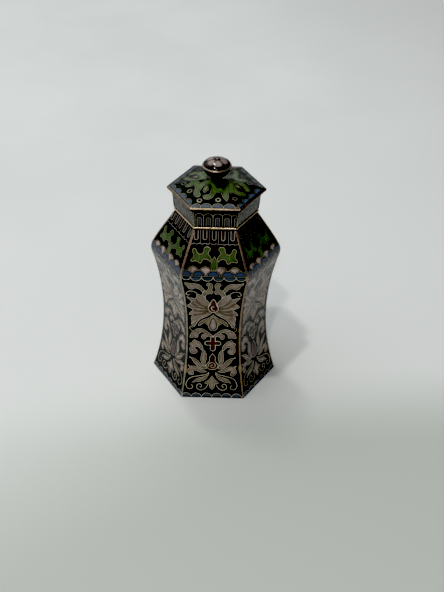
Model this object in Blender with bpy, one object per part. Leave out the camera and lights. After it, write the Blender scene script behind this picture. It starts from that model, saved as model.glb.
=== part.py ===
"""Hexagonal enamelled jar with a lift-off lid, at its real size in metres, with +Z up.

The jar stands on its base at the origin. Two flat sides face -Y and +Y, and two corners lie on the X axis.
Every hexagon is given by its apothem, the distance from the axis to the middle of a flat side.
"""

import math

import bmesh
import bpy

# Jar body: widths are across opposite corners, heights are along the axis
BASE_ACROSS_CORNERS = 0.0580
WAIST_ACROSS_CORNERS = 0.0479
RIDGE_ACROSS_CORNERS = 0.0599
NECK_ACROSS_CORNERS = 0.0372
RIDGE_HEIGHT = 0.0676
SHOULDER_RISE = 0.0183
RIDGE_FILLET = 0.0075
CORNER_ROUNDING = 0.0006
BODY_WALL = 0.0013
FLOOR_THICKNESS = 0.0013
FOOT_WIDTH = 0.0026
FOOT_RECESS = 0.0010
FOOT_EDGE = 0.0003

# Neck collar: a metal ring that stands in the mouth, with a bead over the shoulder's top edge
COLLAR_RISE = 0.0060
COLLAR_SPIGOT = 0.0022
COLLAR_WALL = 0.0009
BEAD_HEIGHT = 0.0011
BEAD_PROUD = 0.0003

# Lid: a skirt that fits over the collar, an overhanging rim and a low dome
LID_ACROSS_CORNERS = 0.0440
SKIRT_HEIGHT = 0.0092
SKIRT_FLARE = 0.0012
LID_WALL = 0.0013
RIM_THICKNESS = 0.0015
DOME_RISE = 0.0040
DOME_BULGE = 0.0005
# How far the corners have rounded off at the stem: 0 keeps a hexagon and 1 gives a circle
HIP_SOFTNESS = 0.9

# Knob: a squashed ball on a short stem, with a raised ring at its widest place
KNOB_RADIUS = 0.0061
KNOB_RING_PROUD = 0.0003
KNOB_RING_THICKNESS = 0.0008
KNOB_STEM_RADIUS = 0.0024
KNOB_STEM_HEIGHT = 0.0020
KNOB_UNDERSIDE = 0.0041
KNOB_CROWN = 0.0029
KNOB_TIP_RADIUS = 0.0005

# Clearances between pieces
SEAT_GAP = 0.0003
SPIGOT_GAP = 0.0003
LID_GAP = 0.0005

# Number of points along each stretch of an outline
SIDES = 6
BODY_CORNER_POINTS = 3
LID_CORNER_POINTS = 5
WAIST_STEPS = 18
RIDGE_STEPS = 5
EDGE_STEPS = 3
DOME_STEPS = 8
KNOB_SEGMENTS = 32
KNOB_CROWN_STEPS = 8
KNOB_UNDERSIDE_STEPS = 6

HALF_SIDE_ANGLE = math.pi / SIDES
SMOOTH_ANGLE = math.radians(25)

# Colours are linear red, green and blue
BLACK_ENAMEL = (0.012, 0.013, 0.012)
DARK_GREEN_ENAMEL = (0.014, 0.022, 0.014)
BROWN_BLACK_ENAMEL = (0.020, 0.012, 0.011)
GILT = (0.56, 0.36, 0.19)


def clear_scene():
    for item in list(bpy.data.objects):
        bpy.data.objects.remove(item, do_unlink=True)


def apothem_of(across_corners):
    return across_corners / 2 * math.cos(HALF_SIDE_ANGLE)


def arc_points(centre, radius, start_angle, end_angle, steps):
    """Points on an arc in the section plane, from start_angle to end_angle, both ends included."""
    points = []
    for step in range(steps + 1):
        angle = start_angle + (end_angle - start_angle) * step / steps
        points.append((centre[0] + radius * math.cos(angle), centre[1] + radius * math.sin(angle)))
    return points


def circle_through(first, middle, last):
    """Centre and radius of the circle through three points of the section plane."""
    (ax, az), (bx, bz), (cx, cz) = first, middle, last
    double_area = 2 * (ax * (bz - cz) + bx * (cz - az) + cx * (az - bz))
    a2, b2, c2 = ax * ax + az * az, bx * bx + bz * bz, cx * cx + cz * cz
    x = (a2 * (bz - cz) + b2 * (cz - az) + c2 * (az - bz)) / double_area
    z = (a2 * (cx - bx) + b2 * (ax - cx) + c2 * (bx - ax)) / double_area
    return (x, z), math.hypot(ax - x, az - z)


class BodySection:
    """The jar's side in section: a waist arc, a fillet at the ridge and a straight shoulder."""

    def __init__(self):
        base = (apothem_of(BASE_ACROSS_CORNERS), 0.0)
        waist = (apothem_of(WAIST_ACROSS_CORNERS), RIDGE_HEIGHT / 2)
        ridge = (apothem_of(RIDGE_ACROSS_CORNERS), RIDGE_HEIGHT)
        neck = (apothem_of(NECK_ACROSS_CORNERS), RIDGE_HEIGHT + SHOULDER_RISE)
        self.waist_centre, self.waist_radius = circle_through(base, waist, ridge)
        run, rise = neck[0] - ridge[0], neck[1] - ridge[1]
        length = math.hypot(run, rise)
        self.along = (run / length, rise / length)
        self.outward = (rise / length, -run / length)
        self.neck = neck
        self.fillet_centre = self.find_fillet_centre()
        across = self.waist_centre[0] - self.fillet_centre[0]
        up = self.waist_centre[1] - self.fillet_centre[1]
        self.fillet_start = math.atan2(up, across)
        self.fillet_end = math.atan2(self.outward[1], self.outward[0])

    def find_fillet_centre(self):
        """The fillet's centre is one fillet radius inside the shoulder and touches the waist circle."""
        x = self.neck[0] - RIDGE_FILLET * self.outward[0] - self.waist_centre[0]
        z = self.neck[1] - RIDGE_FILLET * self.outward[1] - self.waist_centre[1]
        reach = self.waist_radius + RIDGE_FILLET
        half_b = x * self.along[0] + z * self.along[1]
        root = math.sqrt(half_b * half_b - (x * x + z * z - reach * reach))
        travel = root - half_b
        return (
            self.waist_centre[0] + x + travel * self.along[0],
            self.waist_centre[1] + z + travel * self.along[1],
        )

    def apothem_on_shoulder(self, z, depth):
        """The apothem at height z of the shoulder's line, depth inside its outer face."""
        inside = (self.neck[0] - depth * self.outward[0], self.neck[1] - depth * self.outward[1])
        return inside[0] + (z - inside[1]) * self.along[0] / self.along[1]

    def outline(self, start_z, depth):
        """The side from start_z up to the neck, depth inside the outer face, as (apothem, z) points."""
        radius = self.waist_radius + depth
        start_angle = math.pi - math.asin((start_z - self.waist_centre[1]) / radius)
        end_angle = self.fillet_start + math.pi
        points = arc_points(self.waist_centre, radius, start_angle, end_angle, WAIST_STEPS)
        fillet = RIDGE_FILLET - depth
        points += arc_points(self.fillet_centre, fillet, self.fillet_start, self.fillet_end, RIDGE_STEPS)[1:]
        points.append((self.apothem_on_shoulder(self.neck[1], depth), self.neck[1]))
        return points


def hexagon_ring(bm, apothem, z, rounding, corner_points):
    """A hexagon with rounded corners, anticlockwise seen from above, starting at the +X corner."""
    centre_distance = (apothem - rounding) / math.cos(HALF_SIDE_ANGLE)
    ring = []
    for corner in range(SIDES):
        direction = 2 * HALF_SIDE_ANGLE * corner
        for step in range(corner_points):
            turn = direction + HALF_SIDE_ANGLE * (2 * step / (corner_points - 1) - 1)
            x = centre_distance * math.cos(direction) + rounding * math.cos(turn)
            y = centre_distance * math.sin(direction) + rounding * math.sin(turn)
            ring.append(bm.verts.new((x, y, z)))
    return ring


def circle_ring(bm, radius, z):
    ring = []
    for segment in range(KNOB_SEGMENTS):
        angle = 2 * math.pi * segment / KNOB_SEGMENTS
        ring.append(bm.verts.new((radius * math.cos(angle), radius * math.sin(angle), z)))
    return ring


def skin(bm, rings, closed_section):
    """Joins rings in order. The section runs out along the bottom, up outside, in over the top, down inside."""
    pairs = list(zip(rings, rings[1:]))
    if closed_section:
        pairs.append((rings[-1], rings[0]))
    else:
        bm.faces.new(list(reversed(rings[0])))
        bm.faces.new(rings[-1])
    for lower, upper in pairs:
        count = len(lower)
        for index in range(count):
            following = (index + 1) % count
            bm.faces.new((lower[index], lower[following], upper[following], upper[index]))


def enamel_or_metal(name, colour, roughness, metallic):
    material = bpy.data.materials.new(name)
    material.use_nodes = True
    shader = material.node_tree.nodes["Principled BSDF"]
    shader.inputs["Base Color"].default_value = (*colour, 1.0)
    shader.inputs["Roughness"].default_value = roughness
    shader.inputs["Metallic"].default_value = metallic
    return material


def make_object(bm, name, material, location, parent=None):
    mesh = bpy.data.meshes.new(name)
    bm.to_mesh(mesh)
    bm.free()
    mesh.shade_smooth()
    mesh.set_sharp_from_angle(angle=SMOOTH_ANGLE)
    mesh.materials.append(material)
    item = bpy.data.objects.new(name, mesh)
    bpy.context.scene.collection.objects.link(item)
    item.parent = parent
    item.location = location
    return item


def make_jar_body(section):
    """A hollow vessel: walls of one thickness, a floor, and a foot round a shallow recess."""
    base = apothem_of(BASE_ACROSS_CORNERS)
    recess = base - FOOT_WIDTH
    floor_top = FOOT_RECESS + FLOOR_THICKNESS
    bm = bmesh.new()
    outline = [(recess, FOOT_RECESS), (recess, 0.0), (base - FOOT_EDGE, 0.0)]
    outline += section.outline(FOOT_EDGE, 0.0)
    outline += list(reversed(section.outline(floor_top, BODY_WALL)))
    rings = [hexagon_ring(bm, x, z, CORNER_ROUNDING, BODY_CORNER_POINTS) for x, z in outline]
    skin(bm, rings, closed_section=False)
    material = enamel_or_metal("black_enamel", BLACK_ENAMEL, roughness=0.12, metallic=0.0)
    return make_object(bm, "jar_body", material, (0, 0, 0))


def collar_apothem(section):
    """Outer apothem of the collar's ring, which stands in the jar's mouth."""
    mouth = section.apothem_on_shoulder(section.neck[1], BODY_WALL)
    return mouth - SPIGOT_GAP


def make_neck_collar(section):
    """The collar's origin is on the underside of its bead, which rests on the shoulder's top edge."""
    outer = collar_apothem(section)
    bore = outer - COLLAR_WALL
    bead = section.neck[0] + BEAD_PROUD
    bead_radius = BEAD_HEIGHT / 2
    bm = bmesh.new()
    outline = [(bore, -COLLAR_SPIGOT), (outer, -COLLAR_SPIGOT), (outer, 0.0)]
    bead_centre = (bead - bead_radius, bead_radius)
    outline += arc_points(bead_centre, bead_radius, -math.pi / 2, math.pi / 2, 2 * EDGE_STEPS)
    outline += [(outer, BEAD_HEIGHT), (outer, BEAD_HEIGHT + COLLAR_RISE), (bore, BEAD_HEIGHT + COLLAR_RISE)]
    rings = [hexagon_ring(bm, x, z, CORNER_ROUNDING, BODY_CORNER_POINTS) for x, z in outline]
    skin(bm, rings, closed_section=True)
    material = enamel_or_metal("gilt_collar", GILT, roughness=0.28, metallic=1.0)
    return make_object(bm, "neck_collar", material, (0, 0, section.neck[1] + SEAT_GAP))


def dome_outline(edge, foot, depth):
    """The dome's section from its foot on the rim in to the knob's stem, depth inside its outer face."""
    chord = math.hypot(edge[0] - foot[0], edge[1] - foot[1])
    radius = chord * chord / (8 * DOME_BULGE) + DOME_BULGE / 2
    half_turn = math.asin(chord / 2 / radius)
    chord_normal = math.atan2(edge[0] - foot[0], foot[1] - edge[1])
    middle = ((edge[0] + foot[0]) / 2, (edge[1] + foot[1]) / 2)
    to_centre = radius - DOME_BULGE
    centre = (middle[0] - to_centre * math.cos(chord_normal), middle[1] - to_centre * math.sin(chord_normal))
    return arc_points(centre, radius - depth, chord_normal - half_turn, chord_normal + half_turn, DOME_STEPS)


def make_lid(section):
    """The lid's origin is at the bottom of its skirt, one gap above the collar's bead."""
    inner = collar_apothem(section) + LID_GAP
    skirt_bottom = inner + LID_WALL
    skirt_top = skirt_bottom + SKIRT_FLARE
    rim = apothem_of(LID_ACROSS_CORNERS)
    rim_radius = RIM_THICKNESS / 2
    rim_centre = (rim - rim_radius, SKIRT_HEIGHT + rim_radius)
    rim_top = SKIRT_HEIGHT + RIM_THICKNESS
    dome = dome_outline((rim - rim_radius, rim_top), (KNOB_STEM_RADIUS, rim_top + DOME_RISE), 0.0)
    ceiling = dome_outline((rim - rim_radius, rim_top), (KNOB_STEM_RADIUS, rim_top + DOME_RISE), LID_WALL)
    ceiling = [point for point in ceiling if point[0] < inner - LID_WALL]
    slope = (ceiling[0][1] - ceiling[1][1]) / (ceiling[0][0] - ceiling[1][0])
    corner = (inner, ceiling[0][1] + slope * (inner - ceiling[0][0]))
    widest = rim - rim_radius

    def rounding_at(apothem):
        """Corners are crisp at the rim, and round off towards the stem."""
        share = min(max(1 - apothem / widest, 0.0), 1.0)
        return CORNER_ROUNDING + (apothem - CORNER_ROUNDING) * share * HIP_SOFTNESS

    bm = bmesh.new()
    rings = []
    for x, z in reversed(ceiling):
        rings.append(hexagon_ring(bm, x, z, rounding_at(x), LID_CORNER_POINTS))
    sides = [corner, (inner, 0.0), (skirt_bottom, 0.0), (skirt_top, SKIRT_HEIGHT)]
    sides += arc_points(rim_centre, rim_radius, -math.pi / 2, math.pi / 2, 2 * EDGE_STEPS)
    for x, z in sides:
        rings.append(hexagon_ring(bm, x, z, CORNER_ROUNDING, LID_CORNER_POINTS))
    for x, z in dome[1:]:
        rings.append(hexagon_ring(bm, x, z, rounding_at(x), LID_CORNER_POINTS))
    skin(bm, rings, closed_section=False)
    material = enamel_or_metal("dark_lid_enamel", DARK_GREEN_ENAMEL, roughness=0.12, metallic=0.0)
    bottom = section.neck[1] + SEAT_GAP + BEAD_HEIGHT + SEAT_GAP
    return make_object(bm, "lid", material, (0, 0, bottom))


def make_lid_knob(lid):
    """The knob's origin is at the foot of its stem, one gap above the top of the lid's dome."""
    ring_bottom = KNOB_STEM_HEIGHT + KNOB_UNDERSIDE
    ring_top = ring_bottom + KNOB_RING_THICKNESS
    bm = bmesh.new()
    outline = [(KNOB_STEM_RADIUS, 0.0), (KNOB_STEM_RADIUS, KNOB_STEM_HEIGHT)]
    for step in range(1, KNOB_UNDERSIDE_STEPS + 1):
        angle = math.pi / 2 * step / KNOB_UNDERSIDE_STEPS
        x = KNOB_STEM_RADIUS + (KNOB_RADIUS - KNOB_STEM_RADIUS) * math.sin(angle)
        outline.append((x, ring_bottom - KNOB_UNDERSIDE * math.cos(angle)))
    outline.append((KNOB_RADIUS + KNOB_RING_PROUD, ring_bottom + KNOB_RING_PROUD))
    outline.append((KNOB_RADIUS + KNOB_RING_PROUD, ring_top - KNOB_RING_PROUD))
    for step in range(KNOB_CROWN_STEPS):
        angle = math.pi / 2 * step / KNOB_CROWN_STEPS
        outline.append((KNOB_RADIUS * math.cos(angle), ring_top + KNOB_CROWN * math.sin(angle)))
    outline.append((KNOB_TIP_RADIUS, ring_top + KNOB_CROWN))
    rings = [circle_ring(bm, radius, z) for radius, z in outline]
    skin(bm, rings, closed_section=False)
    material = enamel_or_metal("brown_black_enamel", BROWN_BLACK_ENAMEL, roughness=0.12, metallic=0.0)
    foot = SKIRT_HEIGHT + RIM_THICKNESS + DOME_RISE + SEAT_GAP
    return make_object(bm, "lid_knob", material, (0, 0, foot), parent=lid)


def main():
    clear_scene()
    section = BodySection()
    make_jar_body(section)
    make_neck_collar(section)
    lid = make_lid(section)
    make_lid_knob(lid)


main()
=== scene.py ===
"""The look of a hexagonal cloisonne jar: fused enamel, gilt wires and a lift-off lid.

Lengths are in metres, apart from the drawings of the motifs. Those are in millimetres on a surface laid flat:
x across it, and s up along it from its lower edge. A motif that mirrors itself is drawn by its right half.
"""

import math
from bisect import bisect_right

import bpy
from mathutils import Matrix, Vector, noise
from mathutils.bvhtree import BVHTree
from mathutils.geometry import delaunay_2d_cdt


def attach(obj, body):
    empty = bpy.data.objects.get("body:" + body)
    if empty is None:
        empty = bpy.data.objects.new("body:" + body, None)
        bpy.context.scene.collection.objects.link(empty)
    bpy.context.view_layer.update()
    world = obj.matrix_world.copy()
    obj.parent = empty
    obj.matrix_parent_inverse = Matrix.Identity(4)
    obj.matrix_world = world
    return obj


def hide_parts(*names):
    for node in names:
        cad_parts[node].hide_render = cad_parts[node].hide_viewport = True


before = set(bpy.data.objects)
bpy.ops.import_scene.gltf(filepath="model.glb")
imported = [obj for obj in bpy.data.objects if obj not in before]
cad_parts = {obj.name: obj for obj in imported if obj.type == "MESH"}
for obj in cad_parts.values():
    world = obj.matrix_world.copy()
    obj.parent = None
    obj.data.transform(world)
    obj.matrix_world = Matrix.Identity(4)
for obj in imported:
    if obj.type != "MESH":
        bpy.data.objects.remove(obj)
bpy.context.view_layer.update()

MM = 0.001
SIDES = 6
HALF_SIDE_ANGLE = math.pi / SIDES
SIDE_ANGLE = 2 * HALF_SIDE_ANGLE

# Places nearer than this are one place: vertices of the frame in metres, and points of a wire in millimetres
SAME_VERTEX = 1e-6
SAME_POINT = 0.02
TINY = 1e-9

# Depths of the enamel and its wires, in millimetres
ENAMEL_INSET = 0.08
WIRE_PROUD = 0.045
WIRE_ROOT = -0.05
CELL_LEVEL = 0.008
CELL_CROWN = 0.010
CELL_STACK = 0.010
CELL_ROOT = -0.06

# How far from its edge a cell's top is crowned, and the spacing of the points inside it, in millimetres
CELL_REACH = 0.9
CELL_GRID = 0.42
CELL_ROW = 0.866 * CELL_GRID
CELL_MARGIN = 0.45 * CELL_GRID

# Width of the painted shade along the edge where a cell's enamel meets its wire, in millimetres
WIRE_SHADE_WIDTH = 0.72

# Widths of the wires, in millimetres
OUTLINE_WIRE = 0.26
CURL_WIRE = 0.34
FINE_WIRE = 0.20
VEIN_WIRE = 0.27

# Widths of the wires away from the front, as shares of those on it
PLAIN_FINENESS = 0.66
NECK_FINENESS = 0.95
SKIRT_FINENESS = 0.72

# A drawn outline is the outer edge of its wire, so the wire's middle lies this far inside it. The slim motifs
# of the lower part are drawn fuller than they are, so theirs lies deeper.
OUTLINE_DEPTH = 0.16
SLIM_DEPTH = 0.28

# Steps along a drawn curve and along a section, in millimetres
CURVE_STEP = 0.34
SECTION_STEP = 0.75

# Turn at a point of a section above which it is an edge and not part of a curve
EDGE_TURN = math.radians(24)

# Angle between faces above which their edge looks sharp
SHARP_ANGLE = math.radians(30)
CORNER_STEPS = 8
ROUND_SEGMENTS = 96


# Sections of the frame's nodes

class Ring:
    """One level of a node's section: a hexagon of this apothem, height and corner rounding, or a circle."""

    def __init__(self, apothem, height, rounding):
        self.apothem = apothem
        self.height = height
        self.rounding = rounding

    def moved(self, outward, up):
        return Ring(self.apothem + outward, self.height + up, self.rounding)


def loose_ends(links):
    return [point for point, others in links.items() if len(others) == 1]


def join_loose_ends(links):
    """Links the ends of chains that lie at one height, across the level faces between them."""
    ends = loose_ends(links)
    for first in ends:
        for second in ends:
            if first < second and first[1] == second[1]:
                links[first].add(second)
                links[second].add(first)


def section_chain(mesh):
    """The section in the plane of the +X corner, from its lower end on: each point's x and z in whole steps,
    and the vertex's exact place."""
    places, links = {}, {}

    def key(vertex):
        name = (round(vertex.co.x / SAME_VERTEX), round(vertex.co.z / SAME_VERTEX))
        places[name] = vertex.co
        return name

    for edge in mesh.edges:
        first, second = (mesh.vertices[index] for index in edge.vertices)
        in_plane = max(abs(first.co.y), abs(second.co.y)) < SAME_VERTEX
        if in_plane and min(first.co.x, second.co.x) > SAME_VERTEX and key(first) != key(second):
            links.setdefault(key(first), set()).add(key(second))
            links.setdefault(key(second), set()).add(key(first))
    join_loose_ends(links)
    walk = [min(loose_ends(links), key=lambda end: end[1])]
    onward = list(links[walk[0]])
    while onward:
        walk.append(onward[0])
        onward = [other for other in links[walk[-1]] if other not in walk]
    return [(name, places[name]) for name in walk]


def flat_apothems(mesh):
    """Distances of the -Y side's level edges from the axis at each height, all in whole steps."""
    flats = {}
    for edge in mesh.edges:
        first, second = (mesh.vertices[index].co for index in edge.vertices)
        level = abs(first.z - second.z) < SAME_VERTEX and abs(first.y - second.y) < SAME_VERTEX
        if level and first.y < -SAME_VERTEX and abs(first.x + second.x) < 2 * SAME_VERTEX:
            flats.setdefault(round(first.z / SAME_VERTEX), set()).add(round(-first.y / SAME_VERTEX))
    return flats


def round_rings(node):
    """The round node's rings in order along its section."""
    return [Ring(place.x, place.z, place.x) for _name, place in section_chain(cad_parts[node].data)]


def section_rings(node):
    """The hexagonal node's rings in order along its section."""
    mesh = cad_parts[node].data
    chain = section_chain(mesh)
    flats = flat_apothems(mesh)
    corners_at = {}
    for (corner, height), _place in chain:
        corners_at.setdefault(height, []).append(corner)
    rings = []
    slack = 1 / math.cos(HALF_SIDE_ANGLE) - 1
    for (corner, height), place in chain:
        rank = sorted(corners_at[height]).index(corner)
        apothem = sorted(flats[height])[rank] * SAME_VERTEX
        rings.append(Ring(apothem, place.z, (apothem / math.cos(HALF_SIDE_ANGLE) - place.x) / slack))
    return rings


def turn_at(rings, index):
    """How far the section turns at this ring, in radians."""
    before, here, after = rings[index - 1], rings[index], rings[index + 1]
    first = math.atan2(here.height - before.height, here.apothem - before.apothem)
    second = math.atan2(after.height - here.height, after.apothem - here.apothem)
    return abs((second - first + math.pi) % (2 * math.pi) - math.pi)


def hermite(start, end, start_slope, end_slope, t):
    """Point at the share t of the way along a cubic with these ends and end slopes."""
    a = 2 * t * t * t - 3 * t * t + 1
    b = t * t * t - 2 * t * t + t
    c = 3 * t * t - 2 * t * t * t
    d = t * t * t - t * t
    return tuple(a * p + b * m + c * q + d * n for p, m, q, n in zip(start, start_slope, end, end_slope))


def straight_stretch(first, last, step):
    count = max(1, math.ceil(math.dist(first[:2], last[:2]) / step))
    return [tuple(p + (q - p) * i / count for p, q in zip(first, last)) for i in range(count + 1)]


def smooth_stretch(points, step):
    """Points about a step apart on a smooth curve through the given ones, with both ends kept."""
    if len(points) == 2:
        return straight_stretch(*points, step)
    pairs = list(zip(points, points[1:]))
    gaps = [max(math.dist(p[:2], q[:2]), TINY) for p, q in pairs]
    chords = [[(b - a) / gap for a, b in zip(p, q)] for (p, q), gap in zip(pairs, gaps)]
    slopes = [chords[0]]
    for index in range(1, len(gaps)):
        left, right = gaps[index - 1], gaps[index]
        both = zip(chords[index - 1], chords[index])
        slopes.append([(back * right + ahead * left) / (left + right) for back, ahead in both])
    slopes.append(chords[-1])
    curve = [tuple(points[0])]
    for index, gap in enumerate(gaps):
        count = max(1, math.ceil(gap / step))
        start_slope, end_slope = ([value * gap for value in slope] for slope in slopes[index:index + 2])
        curve += [hermite(*pairs[index], start_slope, end_slope, i / count) for i in range(1, count + 1)]
    return curve


def fine_section(rings, step=SECTION_STEP):
    """The same section with rings close together: curved between its edges, which stay sharp."""
    edges = [0]
    edges += [i for i in range(1, len(rings) - 1) if turn_at(rings, i) > EDGE_TURN]
    edges.append(len(rings) - 1)
    fine = [rings[0]]
    for first, last in zip(edges, edges[1:]):
        points = [(ring.apothem, ring.height, ring.rounding) for ring in rings[first:last + 1]]
        fine += [Ring(*values) for values in smooth_stretch(points, step * MM)[1:]]
    return fine


def inset(rings, first, last):
    """The section with its rings from first to last set back into the wall by the enamel's inset."""
    moved = list(rings)
    for index in range(first, last + 1):
        before = rings[max(index - 1, first)]
        after = rings[min(index + 1, last)]
        run, rise = after.apothem - before.apothem, after.height - before.height
        along = math.hypot(run, rise)
        moved[index] = rings[index].moved(-rise / along * ENAMEL_INSET * MM, run / along * ENAMEL_INSET * MM)
    return moved


def arc_points(centre, radius, start_angle, end_angle, count):
    """Points in equal steps on an arc of a circle, between two angles in radians."""
    line = []
    for step in range(count + 1):
        angle = start_angle + (end_angle - start_angle) * step / count
        line.append((centre[0] + radius * math.cos(angle), centre[1] + radius * math.sin(angle)))
    return line


def ring_points(ring):
    """Points round a hexagonal ring with rounded corners, starting at its +X corner."""
    reach = (ring.apothem - ring.rounding) / math.cos(HALF_SIDE_ANGLE)
    points = []
    for corner in range(SIDES):
        turn = SIDE_ANGLE * corner
        centre = (reach * math.cos(turn), reach * math.sin(turn))
        ends = (turn - HALF_SIDE_ANGLE, turn + HALF_SIDE_ANGLE)
        points += arc_points(centre, ring.rounding, *ends, CORNER_STEPS)
    return [(x, y, ring.height) for x, y in points]


def circle_points(ring):
    circle = arc_points((0, 0), ring.apothem, 0.0, 2 * math.pi, ROUND_SEGMENTS)
    return [(x, y, ring.height) for x, y in circle[:-1]]


# Meshes

class Pile:
    """Points and faces gathered for one mesh. Each point keeps its cell's tint, how far it is from the cell's
    edge for the painted shade along the wire, and its place for brush streaks: the angle and distance from
    where they start."""

    def __init__(self):
        self.points = []
        self.faces = []
        self.tints = []
        self.edges = []
        self.streaks = []

    def add(self, points, faces, tint=0.0, edges=None, streaks=None):
        start = len(self.points)
        self.points += points
        self.faces += [tuple(start + index for index in face) for face in faces]
        self.tints += [tint] * len(points)
        self.edges += edges or [1.0] * len(points)
        self.streaks += streaks or [(0.0, 0.0, 0.0)] * len(points)


def loft(pile, loops, closed_section=False):
    """Skins loops of equal length in order, and caps the two ends unless the section is closed."""
    count = len(loops[0])
    faces = []
    for row in range(len(loops) if closed_section else len(loops) - 1):
        above = (row + 1) % len(loops)
        for index in range(count):
            following = (index + 1) % count
            lower = (row * count + index, row * count + following)
            faces.append((*lower, above * count + following, above * count + index))
    if not closed_section:
        faces.append(tuple(reversed(range(count))))
        last = (len(loops) - 1) * count
        faces.append(tuple(range(last, last + count)))
    pile.add([point for loop in loops for point in loop], faces)


def make_piece(name, pile, material, slot, node=None):
    """A piece on the root body with the pile's mesh, which may stand for one of the frame's nodes."""
    mesh = bpy.data.meshes.new(name)
    mesh.from_pydata(pile.points, [], pile.faces)
    mesh.attributes.new("tint", "FLOAT", "POINT").data.foreach_set("value", pile.tints)
    # The edge attribute sets how much painted shade the enamel takes along its wires
    mesh.attributes.new("edge", "FLOAT", "POINT").data.foreach_set("value", pile.edges)
    streaks = [value for place in pile.streaks for value in place]
    mesh.attributes.new("streak", "FLOAT_VECTOR", "POINT").data.foreach_set("vector", streaks)
    mesh.shade_smooth()
    mesh.set_sharp_from_angle(angle=SHARP_ANGLE)
    mesh.materials.append(material)
    piece = bpy.data.objects.new(name, mesh)
    bpy.context.scene.collection.objects.link(piece)
    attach(piece, "root")
    if node:
        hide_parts(node)


# Surfaces that carry the drawings

def blend(low, high, share):
    return low + (high - low) * share


class Panel:
    """One of the six flat-fronted sides, curved only along its height. Side 0 faces -Y."""

    def __init__(self, rings, side, start):
        self.rings = rings
        self.lengths = [start]
        for lower, upper in zip(rings, rings[1:]):
            step = math.hypot(upper.apothem - lower.apothem, upper.height - lower.height)
            self.lengths.append(self.lengths[-1] + step / MM)
        angle = -math.pi / 2 + SIDE_ANGLE * side
        self.facing = (math.cos(angle), math.sin(angle))
        self.across = (-math.sin(angle), math.cos(angle))

    def level(self, s):
        """Index of the ring below s and the share of the way to the next."""
        index = min(max(bisect_right(self.lengths, s) - 1, 0), len(self.lengths) - 2)
        return index, (s - self.lengths[index]) / (self.lengths[index + 1] - self.lengths[index])

    def half_width(self, s):
        index, share = self.level(s)
        apothem = blend(self.rings[index].apothem, self.rings[index + 1].apothem, share)
        return apothem * math.tan(HALF_SIDE_ANGLE) / MM

    def slope(self, index):
        """Outward and upward parts of the surface's normal at a ring."""
        lower = self.rings[max(index - 1, 0)]
        upper = self.rings[min(index + 1, len(self.rings) - 1)]
        run, rise = upper.apothem - lower.apothem, upper.height - lower.height
        length = math.hypot(run, rise)
        return rise / length, -run / length

    def at(self, x, s, height):
        """Place of a drawn point at a height above the enamel."""
        index, share = self.level(s)
        lower, upper = self.rings[index], self.rings[index + 1]
        out, up = (blend(low, high, share) for low, high in zip(self.slope(index), self.slope(index + 1)))
        apothem = blend(lower.apothem, upper.apothem, share) + out * height * MM
        return (
            self.facing[0] * apothem + self.across[0] * x * MM,
            self.facing[1] * apothem + self.across[1] * x * MM,
            blend(lower.height, upper.height, share) + up * height * MM,
        )


class Top:
    """A crown seen from above: x and y are places in plan, turned about the axis by an angle."""

    def __init__(self, pile, turn=0.0):
        self.tree = BVHTree.FromPolygons(pile.points, pile.faces)
        self.turn = turn

    def at(self, x, y, height):
        """Place of a drawn point at a height above the enamel."""
        cosine, sine = math.cos(self.turn), math.sin(self.turn)
        above = Vector(((x * cosine - y * sine) * MM, (x * sine + y * cosine) * MM, 1.0))
        place, normal, _face, _distance = self.tree.ray_cast(above, Vector((0, 0, -1)))
        return tuple(place + normal * height * MM)


# Drawn curves

def trace(*stretches):
    """One polyline from smooth stretches that meet at corners. Each stretch is a few points, and each but the
    first starts where the last one ended."""
    line = []
    for points in stretches:
        line += smooth_stretch(line[-1:] + list(points), CURVE_STEP)[1 if line else 0:]
    return line


def closed_trace(*stretches):
    """A closed outline: the last stretch ends where the first one starts."""
    return trace(*stretches)[:-1]


def joined(*lines):
    """One outline from lines that follow each other round it."""
    return [point for line in lines for point in line[:-1]]


def mirrored(line):
    return [(-x, s) for x, s in line]


def both_halves(*stretches):
    """A closed outline about the middle, from the right half's stretches, which start and end at x = 0."""
    right = trace(*stretches)
    return right + mirrored(right)[-2:0:-1]


def arch(start, end, rise):
    """An arc of a circle from start to end, which bulges by rise to the left of its direction."""
    chord = math.dist(start, end)
    radius = (chord * chord / 4 + rise * rise) / (2 * abs(rise))
    along = ((end[0] - start[0]) / chord, (end[1] - start[1]) / chord)
    aside = (-along[1] * math.copysign(1, rise), along[0] * math.copysign(1, rise))
    inward = abs(rise) - radius
    centre = [(p + q) / 2 + across * inward for p, q, across in zip(start, end, aside)]
    half_turn = math.acos(max(-1.0, min(1.0, -inward / radius)))
    count = max(4, math.ceil(2 * half_turn * radius / CURVE_STEP))
    flat = arc_points((0, 0), radius, -half_turn, half_turn, count)
    return [(centre[0] + aside[0] * out + along[0] * over, centre[1] + aside[1] * out + along[1] * over)
            for out, over in flat]


def arc_between(centre, radius, start_angle, end_angle):
    """Arc of a circle from one angle to the other, in radians."""
    count = max(3, math.ceil(abs(end_angle - start_angle) * radius / CURVE_STEP))
    return arc_points(centre, radius, start_angle, end_angle, count)


def circle_line(centre, radius):
    return arc_between(centre, radius, 0.0, 2 * math.pi)[:-1]


def scallops(ends, level, rise, full_width):
    """Arcs between neighbouring ends at one level. An arc narrower than the full width rises less."""
    for left, right in zip(ends, ends[1:]):
        yield arch((left, level), (right, level), rise * min(1.0, (right - left) / full_width))


def lappet(x, foot, top, half_width):
    """A line down one side of an upright strip, round its half-round foot and up its other side. With the
    foot above the top, the strip is turned over."""
    turned = half_width if foot < top else -half_width
    left, right = (x - half_width, foot + turned), (x + half_width, foot + turned)
    down = trace([(left[0], top), left])
    up = trace([right, (right[0], top)])
    return down + arch(left, right, -turned)[1:] + up[1:]


# Wires and enamel cells

# A wire's section, as shares of its half width and of its height above the enamel
WIRE_SECTION = ((-1.0, None), (-0.86, 0.55), (0.0, 1.0), (0.86, 0.55), (1.0, None))

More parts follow.
